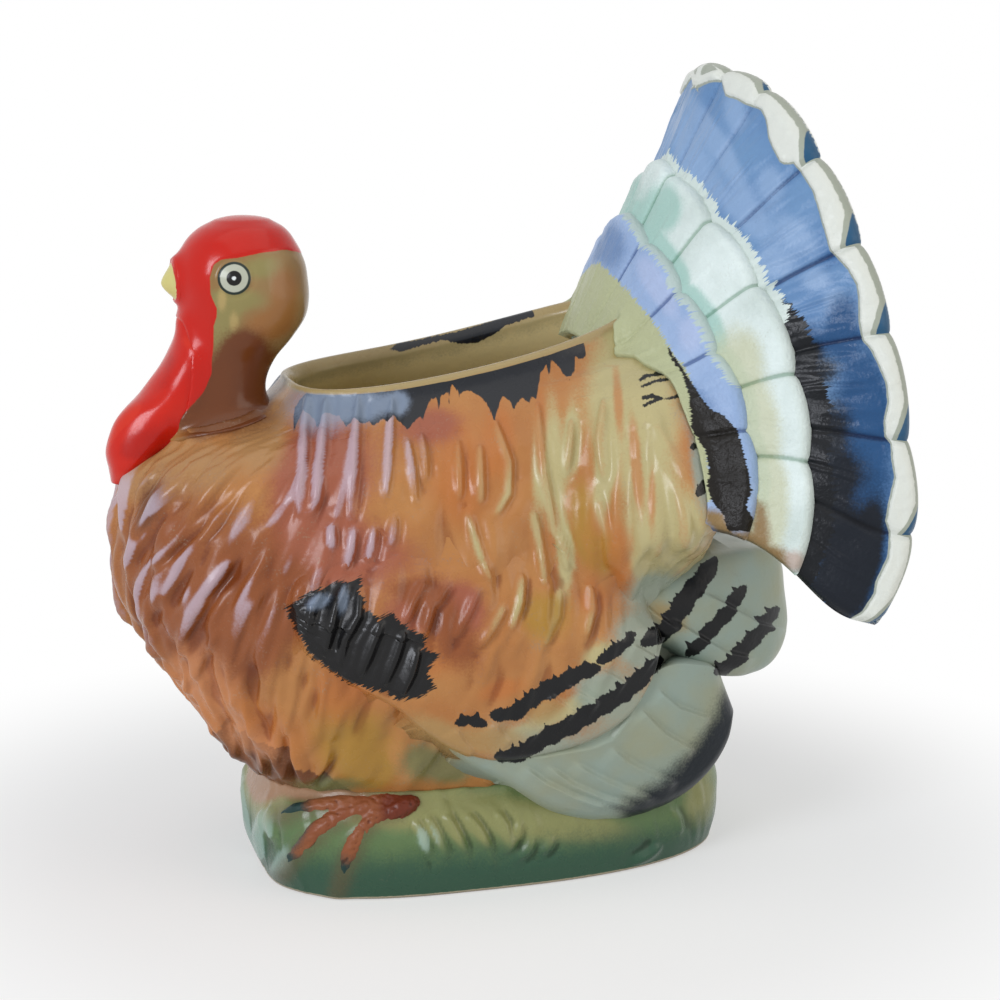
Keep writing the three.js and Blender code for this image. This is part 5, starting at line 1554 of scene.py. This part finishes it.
def remeshed(tubes, voxel):
    points, faces, start = [], [], 0
    for tube in tubes:
        points.append(withMiddles(tube))
        faces += [[start + i for i in face] for face in tubeFaces(*tube.shape[:2])]
        start += len(points[-1])
    mesh = bpy.data.meshes.new("raw")
    mesh.from_pydata((np.concatenate(points) / metre).tolist(), [], faces)
    shape = bmesh.new()
    shape.from_mesh(mesh)
    bmesh.ops.recalc_face_normals(shape, faces=shape.faces)
    shape.to_mesh(mesh)
    shape.free()
    raw = bpy.data.objects.new("raw", mesh)
    bpy.context.scene.collection.objects.link(raw)
    wrap = raw.modifiers.new("wrap", "REMESH")
    wrap.mode, wrap.voxel_size = "VOXEL", voxel / metre
    ease = raw.modifiers.new("ease", "SMOOTH")
    ease.factor, ease.iterations = 0.5, 4
    made = bpy.data.meshes.new_from_object(raw.evaluated_get(bpy.context.evaluated_depsgraph_get()))
    bpy.data.objects.remove(raw)
    places = np.empty(len(made.vertices) * 3)
    made.vertices.foreach_get("co", places)
    normals = np.empty(len(made.vertices) * 3)
    made.vertex_normals.foreach_get("vector", normals)
    faces = [list(p.vertices) for p in made.polygons]
    bpy.data.meshes.remove(made)
    return places.reshape(-1, 3) * metre, normals.reshape(-1, 3), faces


footPoints, footNormals, footFaces = remeshed(footTubes(), feet["voxel"])
footX, footY, footZ = footPoints.T
footBumps = feet["bumpHeight"] * plainRipple(footX * 1.2 + footY, footZ * 1.3 + footY, feet["bumpSize"], 8)
footShown = footPoints + footNormals * footBumps[:, None]
footShown = tuck(footShown, moundTree, feet["tuck"])
footShown = tuck(footShown, potTree, feet["tuck"])
clawShare = np.zeros(len(footPoints))
for toe in feet["toes"]:
    clawTip = onMound(toe, feet["steps"])[-1]
    clawGap = np.linalg.norm(footPoints - clawTip, axis=1)
    clawShare = np.maximum(clawShare, 1 - clawGap / feet["clawReach"])
ankleGap = np.linalg.norm(footPoints - onMound(feet["ankle"], 3)[1], axis=1)
footLayers = {"claw": np.clip(clawShare * 2.2, 0, 1), "groove": groovesOf(footBumps, feet["bumpHeight"]),
        "ankle": 1 - smoothStep(3, 8, ankleGap),
        "across": footPoints[:, 0], "along": footPoints[:, 2]}
# Gives the eye dull red-brown clay with cool dark claws.
footGlaze = glaze("glazedEarthenwareToe", ("#935a38", "#854a2e"),
        [("spray", "ankle", "#672a1a", 0.9), ("spray", "claw", "#1d3835", 1.0),
         ("tint", "groove", "#8a5434", 0.6)], dull)
makePair("foot", footShown, footFaces, footLayers, footGlaze, "foot")


# Fan. Each feather is a shallow dome with a double quill line, barbs, and a trail of thick slip near the rim.
fanForm = {
    "bandWidth": 7.5, "dome": 0.8, "step": 0.35, "crease": 0.5, "creaseWidth": 0.55, "quillHeight": 0.32,
    "quillGap": 0.8, "quillHollow": 0.2, "quillWidth": 0.5, "waves": 0.22, "waveSize": 7, "lumpSize": 2.4,
    "slip": 0.8, "lumps": 0.16, "barbSpacing": (10, 12), "barb": (13.0, 2.2, 0.2, 1.0), "barbSlant": 12.0,
    "round": 3.3, "backBand": 3.5, "sliver": 2.6, "rimLine": 1.0, "spill": 1.9, "fringe": 4.5,
}
rowForm = {"lute": 4.0, "sunk": 0.6, "round": 2.4, "rearGap": 0.3, "dome": 0.75, "crease": 0.5,
        "creaseWidth": 0.55, "quill": 0.2, "waves": 0.14, "ripple": 0.07}


def featherGaps(part, width, radius):
    # Distances about the hub from the groove between two feathers, and from the quill in the middle of one.
    reach = width * np.radians(tailSpread(radius)) * radius
    return np.minimum(part, 1 - part) * reach, (part - 0.5) * reach


def tailLayers(u, v, radius, angle):
    return {"across": arcLength(np.abs(angle)), "along": radius, "blotch": inOutline(u, v, "blotch"),
            "stripes": strokeInside(u, v, strokePixels["dashes"], sideForm["dashTeeth"]),
            "tan": smoothStep(-2.4, 2.4, inOutline(u, v, "tanEnd"))}


fanRadius, fanAngle = fanFront
fanSide = np.abs(fanAngle)
fanPlain = plainSheet(fanFront, 0.0)
fanU, fanV = photoPixels(fanPlain)
bandGap, _, bandSide = nearestSegment(fanU, fanV, np.array(bandPixels, float))
bandInside = np.minimum(-pixelSize * bandGap * bandSide, fanRadius - fanRim + fanForm["bandWidth"])
outward = np.where(fanShare > 0, fanPart, 1 - fanPart)[None]      # 0 to 1 down each feather's rim
crease, quill = featherGaps(fanPart[None], fanWidth[None], fanRadius)
quillFade = smoothStep(70, 78, fanRadius) * (1 - smoothStep(-7, -2, bandInside))
quillLines = (bump(quill - fanForm["quillGap"], fanForm["quillWidth"])
        + bump(quill + fanForm["quillGap"], fanForm["quillWidth"]))
quillHollow = fanForm["quillHollow"] * bump(quill, fanForm["quillWidth"])
domeGrow = mix(0.3, 1, smoothStep(0.55, 0.95, fanRadius / fanRim))
creaseDepth = smoothStep(60, 75, fanRadius) * mix(0.35, 1, smoothStep(20, 40, fanSide))
lumps = plainRipple(arcLength(fanAngle), fanRadius, fanForm["lumpSize"], 21)
fanHeight = fanForm["dome"] * (fanDome[None] - 1) * domeGrow + fanForm["step"] * (outward - 0.5)
fanHeight -= fanForm["crease"] * bump(crease, fanForm["creaseWidth"]) * creaseDepth
fanHeight += quillFade * (fanForm["quillHeight"] * quillLines - quillHollow)
fanHeight += fanForm["waves"] * plainRipple(arcLength(fanAngle), fanRadius * 0.6, fanForm["waveSize"], 22)
slipHeight = fanForm["slip"] + fanForm["lumps"] * lumps - 0.5 * bump(crease, 1.0)
fanHeight += smoothStep(-0.4, 0.6, bandInside) * slipHeight


def barbStroke(place, normal):
    return fanForm["barb"]


def barbHeading(place, normal):
    radius, angle = tailPolar(place)
    heading = np.array([math.sin(math.radians(tail["lean"])), 0, math.cos(math.radians(tail["lean"]))])
    across = np.array([0.3, math.copysign(1, place[1]), 0])
    slant = math.radians(angle + fanForm["barbSlant"])
    heading = heading * math.cos(slant) + across * math.sin(slant)
    heading -= normal * (heading @ normal)
    return heading / np.linalg.norm(heading)


fanBarbs = carve(fanPlain, shownNormals(fanPlain, 0), fanForm["barbSpacing"], barbStroke, barbHeading, False)
fanHeight += fanBarbs * (1 - smoothStep(-2, 0, bandInside))
roll = rimRoll(fanRadius, fanShare[None], fanRim[None], fanForm["round"])
middle = -tail["thickness"] / 2
fanShown = tailPoint(fanRadius, np.radians(fanAngle), middle + (fanHeight - middle) * roll)
backRadius, backAngle = fanBack
backRoll = rimRoll(backRadius, fanShare[None], fanRim[None], fanForm["round"])
backCrease = featherGaps(fanPart[None], fanWidth[None], backRadius)[0]
backGrow = smoothStep(0.5, 0.95, backRadius / fanRim)
backHeight = -tail["thickness"] - tail["swell"] * (fanDome[None] - 1) * backGrow
backHeight += 0.8 * bump(backCrease, 1.0) * backGrow
backHeight -= (tail["rootThickness"] - tail["thickness"]) * (1 - smoothStep(34, 83, backRadius))
backShown = tailPoint(backRadius, np.radians(backAngle), middle + (backHeight - middle) * backRoll)


def rowRimAt(side, row):
    # The rim of a shorter row at an angle of the fan.
    half = row["share"] > 0
    rim = row["rim"][half]
    return np.interp(side, row["share"][half] * tailSpread(rim), rim)


sliver = fanForm["sliver"] * np.clip((outward - 0.66) / 0.3, 0, 1) * smoothStep(8, 25, fanSide)
whiteAt = rowRimAt(fanSide, whiteRow)
fanSprays = {
    # Pale blue on the upper feathers: partly lighter paint, partly painted sheen where they face the light.
    "pale": [(690, 150, 20, 60, -20), (722, 150, 10, 60, -30), (745, 215, 14, 40, -40),
        (770, 185, 14, 22), (795, 235, 16, 30, -50), (735, 110, 12, 24), (775, 265, 22, 16),
        (815, 280, 14, 12), (835, 300, 12, 14)],
    "deep": [(842, 325, 18, 34), (865, 400, 30, 60), (860, 500, 40, 80), (850, 580, 40, 50),
        (800, 345, 30, 24)],
    "night": [(818, 372, 24, 16, -20), (828, 425, 26, 26, -10), (838, 470, 30, 24), (838, 520, 30, 34),
        (845, 565, 28, 30, 10), (835, 600, 34, 26, 30), (872, 540, 14, 50, 8), (805, 480, 14, 90),
        (808, 350, 14, 10)],
}
fanLayers = sprayed(fanU, fanV, fanSprays)
fanLayers.update(tailLayers(fanU, fanV, fanRadius, fanAngle))
fanLayers["band"] = np.minimum(bandInside, fanRim[None] - fanForm["rimLine"] - fanRadius - sliver)
fanLayers["band"] = np.minimum(fanLayers["band"], -inOutline(fanU, fanV, "tipTriangle"))
# Painted shade: grey on the rounded outer edge of the rim, beyond the pale band.
fanLayers["bevel"] = np.minimum(bandInside + 0.4, 1.4 + 0 * fanRadius)
fanLayers["wedge"] = np.minimum(bandInside, fanRadius - (fanRim[None] + 0.1 - sliver)) - 6 * (sliver < 0.1)
fanLayers["spill"] = whiteAt + fanForm["spill"] - fanRadius + unpainted * smoothStep(50, 58, fanSide)
fringeReach = fanForm["fringe"] * smoothStep(36, 60, fanSide)
fanLayers["fringe"] = whiteAt + fringeReach - fanRadius - 6 * (1 - smoothStep(30, 44, fanSide))
# The creases between feathers are darkened and the blue about them deepened: partly dark blue paint, partly
# painted shade.
fanLayers["groove"] = np.clip(0.5 * groovesOf(fanHeight + 0.5, 0.9) + bump(crease, 0.5), 0, 1)
fanLayers["groove"] = fanLayers["groove"] * creaseDepth * (bandInside < 0)
fanLayers["halo"] = bump(crease, 2.6) * creaseDepth * smoothStep(-14, -2, fanRadius - fanRim)
backLayers = {name: np.full(backRadius.shape, unpainted)
        for name in ("spill", "fringe", "blotch", "stripes", "bevel", "wedge")}
backLayers["band"] = backRadius - (fanRim[None] - fanForm["backBand"])
backLayers["deep"] = np.full(backRadius.shape, 0.5)
backLayers["across"], backLayers["along"] = arcLength(np.abs(backAngle)), backRadius
# Gives the eye dry, chalky blue feathers with ink-dark roots between pale rims of thick slip.
fanGlaze = glaze("glazedEarthenwareFan", ("#6f93bb", "#6488b3"),
        [("spray", "pale", "#93aed0", 0.7), ("spray", "halo", "#2f5f94", 0.8),
         ("spray", "deep", "#234c78", 0.97), ("spray", "night", "#12161d", 0.98),
         ("tint", "groove", "#365a86", 0.8),
         ("brush", "fringe", "#101318", 3.2, (0.8, 6.0), 0),
         ("brush", "spill", "#cfdad4", 3.2, (0.8, 6.0), 0),
         ("brush", "bevel", "#a3a99b", 0.2, (2.0, 2.0), 0),
         ("brush", "wedge", "#2a5678", 0.2, (2.0, 2.0), 0),
         ("brush", "band", "#dcdfd6", 0.3, (1.2, 1.2), 0)],
        dict(gritty, smooth=0.26, rough=0.4, peel=0.25))
makePiece("tailFan", np.concatenate([fanShown.reshape(-1, 3), backShown.reshape(-1, 3)]),
        slabFaces(*fanRadius.shape),
        asLayers((fanRadius.shape, fanLayers, 0), (backRadius.shape, backLayers, 0)), fanGlaze,
        ["tail_fan"])


def makeRow(name, row, top, low, layersAt, material, nodes):
    share, part, width, dome, rim, sheet = row.values()
    radius, angle = sheet
    crease, quill = featherGaps(part[None], width[None], radius)
    height = top + rowForm["dome"] * (dome[None] - 1) * smoothStep(0.6, 1.0, radius / rim)
    height -= rowForm["crease"] * bump(crease, rowForm["creaseWidth"])
    height += rowForm["quill"] * bump(quill, 0.7) * (1 - smoothStep(-8, -3, radius - rim))
    height += rowForm["waves"] * plainRipple(np.radians(angle) * 70, radius * 0.6, 4, 17)
    height += rowForm["ripple"] * plainRipple(np.radians(angle) * 70, radius, 1.6, 18)
    roll = rimRoll(radius, share[None], rim[None], rowForm["round"])
    shown = tailPoint(radius, np.radians(angle), low + (height - low) * roll)
    plain = plainSheet(sheet, top)
    meets = lutePush(plain, potTree, rowForm["lute"]) * (roll > 0.9)
    shown += shownNormals(plain, 0) * meets[..., None]
    rear = plainSheet(sheet, low - rowForm["rearGap"])
    u, v = photoPixels(plain)
    layers = layersAt(u, v, radius, np.abs(angle), rim[None])
    layers.update(tailLayers(u, v, radius, angle))
    layers["groove"] = np.clip(0.5 * groovesOf(height - top + 0.4, 0.8) + bump(crease, 0.45), 0, 1)
    makePiece(name, np.concatenate([shown.reshape(-1, 3), rear.reshape(-1, 3)]), slabFaces(*radius.shape),
            asLayers((radius.shape, layers, 0), (radius.shape, layers, 0)), material, nodes)


whiteSprays = {"mint": [(650, 215, 22, 40, 30), (668, 210, 12, 18)], "pink": [(792, 562, 14, 12)]}
# Painted shade on the blue row: darker blue where it meets the rump and the rim.
blueSprays = {"dusk": [(690, 400, 30, 18, 30), (700, 430, 30, 14), (610, 245, 16, 26)],
        "streak": [(650, 275, 12, 24, -30), (665, 300, 10, 22, -30), (690, 335, 12, 20)]}


def whiteLayers(u, v, radius, side, rim):
    # Mint in the top feathers, and mint as painted shadow in the hollow under the blue row's edge; cream on
    # the low feathers' inner half.
    layers = sprayed(u, v, whiteSprays)
    hollow = rowRimAt(side, blueRow) + 2.5 - radius
    layers["mint"] = np.clip(layers["mint"] + smoothStep(-1.5, 1.5, hollow), 0, 1)
    layers["cream"] = smoothStep(42, 56, side) * (1 - smoothStep(-9.0, -3.0, radius - rim))
    return layers


def blueLayers(u, v, radius, side, rim):
    # A pale toothed tip on the feathers of the upper half, and a green-grey root along the rump.
    layers = sprayed(u, v, blueSprays)
    gap, _, hand = nearestSegment(u, v, np.array(junctionPixels, float))
    layers["tip"] = radius - rim + 1.5 + unpainted * smoothStep(60, 68, side)
    layers["root"] = 1.4 + pixelSize * gap * hand + unpainted * smoothStep(86, 94, side)
    return layers


rowFinish = dict(gritty, smooth=0.3, rough=0.46, peel=0.5)
# Gives the eye grainy white with mint in its hollows, the mint under the blue row's edge being painted
# shadow.
whiteGlaze = glaze("glazedEarthenwareWhiteRow", ("#e0ece8", "#cad7d1"),
        [("spray", "mint", "#9cc4b8", 0.8), ("spray", "cream", "#c4c6a4", 0.8),
         ("spray", "pink", "#b89888", 0.7), ("spray", "tan", "#8f7650", 1.0),
         ("tint", "groove", "#a9bfae", 0.75),
         ("brush", "blotch", "#14110e", 0.9, (0.6, 3.0), 0)], rowFinish)
makeRow("tailRowWhite", whiteRow, whiteTop, -rowForm["sunk"], whiteLayers, whiteGlaze, ["tail_row_white"])
# Gives the eye pale blue that a dry brush has left ragged at tip and root.
blueGlaze = glaze("glazedEarthenwareBlueRow", ("#93acd1", "#a2b9dc"),
        # The darker blue spray is painted shade.
        [("spray", "streak", "#b0bfdf", 0.8), ("spray", "dusk", "#6482ad", 0.8),
         ("spray", "tan", "#8f7650", 1.0), ("tint", "groove", "#5a739c", 0.7),
         ("brush", "tip", "#b8c9c6", 3.0, (0.8, 6.0), 0),
         ("brush", "root", "#b5b992", 2.4, (0.8, 6.0), 0),
         ("brush", "blotch", "#14110e", 0.9, (0.6, 3.0), 0)], rowFinish)
makeRow("tailRowBlue", blueRow, blueTop, whiteTop - rowForm["sunk"], blueLayers, blueGlaze, ["tail_row_blue"])
print("tail pieces")


# Stage: a plain pale floor under soft studio light. Both show white, and the floor keeps the shadow.
stage = {"reach": 3.0, "shadowReach": 0.09, "whiteReach": 0.19, "nearWhite": 0.45, "room": 0.41}
# Each lamp: its place and what it faces, its side and its power, in metres and watts, and its colour.
lamps = {"windowKey": ((-1.0, -0.75, 0.55), (-0.02, 0, 0.08), 0.5, 9.2, "#f2f6ff"),
        "topFill": ((0.1, -0.3, 1.2), (0, 0, 0.1), 1.4, 4.2, "#fffaf2"),
        "rightFill": ((0.9, -0.7, 0.4), (0.02, 0, 0.08), 0.8, 3.1, "#fff6ea")}


def seenBy(tree):
    path = addNode(tree, "LightPath")
    glass = combined(tree, "MAXIMUM", path.outputs["Is Glossy Ray"], path.outputs["Is Transmission Ray"])
    return combined(tree, "MAXIMUM", path.outputs["Is Camera Ray"], glass)


def makeStage():
    floor = bpy.data.meshes.new("paleFloor")
    r = stage["reach"]
    floor.from_pydata([(-r, -r, 0), (r, -r, 0), (r, r, 0), (-r, r, 0)], [], [(0, 1, 2, 3)])
    paper = bpy.data.materials.new("matWhitePaper")
    paper.use_nodes = True
    tree = paper.node_tree
    tree.nodes.clear()
    sheet = addNode(tree, "BsdfDiffuse", {"Color": linear("#f4f4f2")})
    white = addNode(tree, "Emission", {"Color": (1, 1, 1, 1), "Strength": 1.0})
    place = addNode(tree, "TexCoord").outputs["Object"]
    away = addNode(tree, "VectorMath", {"operation": "LENGTH"}, {0: place}).outputs["Value"]
    far = softRange(tree, away, stage["shadowReach"], stage["whiteReach"], stage["nearWhite"])
    share = combined(tree, "MULTIPLY", far, seenBy(tree))
    both = addNode(tree, "MixShader", None, {0: share, 1: sheet.outputs[0], 2: white.outputs[0]})
    addNode(tree, "OutputMaterial", None, {"Surface": both.outputs[0]})
    floor.materials.append(paper)
    ground = bpy.data.objects.new("paleFloor", floor)
    bpy.context.scene.collection.objects.link(ground)
    world = bpy.data.worlds.new("studio")
    world.use_nodes = True
    bpy.context.scene.world = world
    tree = world.node_tree
    tree.nodes.clear()
    shown = addNode(tree, "Background", {"Color": (1, 1, 1, 1), "Strength": 1.0})
    room = addNode(tree, "Background", {"Color": linear("#eef2f8"), "Strength": stage["room"]})
    both = addNode(tree, "MixShader", None,
            {0: seenBy(tree), 1: room.outputs[0], 2: shown.outputs[0]})
    addNode(tree, "OutputWorld", None, {"Surface": both.outputs[0]})


def makeLamp(name, place, target, size, power, colour):
    data = bpy.data.lights.new(name, "AREA")
    data.shape, data.size, data.energy = "SQUARE", size, power
    data.color = linear(colour)[:3]
    lamp = bpy.data.objects.new(name, data)
    lamp.location = place
    lamp.rotation_euler = (Vector(target) - Vector(place)).to_track_quat("-Z", "Y").to_euler()
    bpy.context.scene.collection.objects.link(lamp)


makeStage()
for lampName, lampSettings in lamps.items():
    makeLamp(lampName, *lampSettings)
bpy.context.scene.view_settings.view_transform = "Standard"
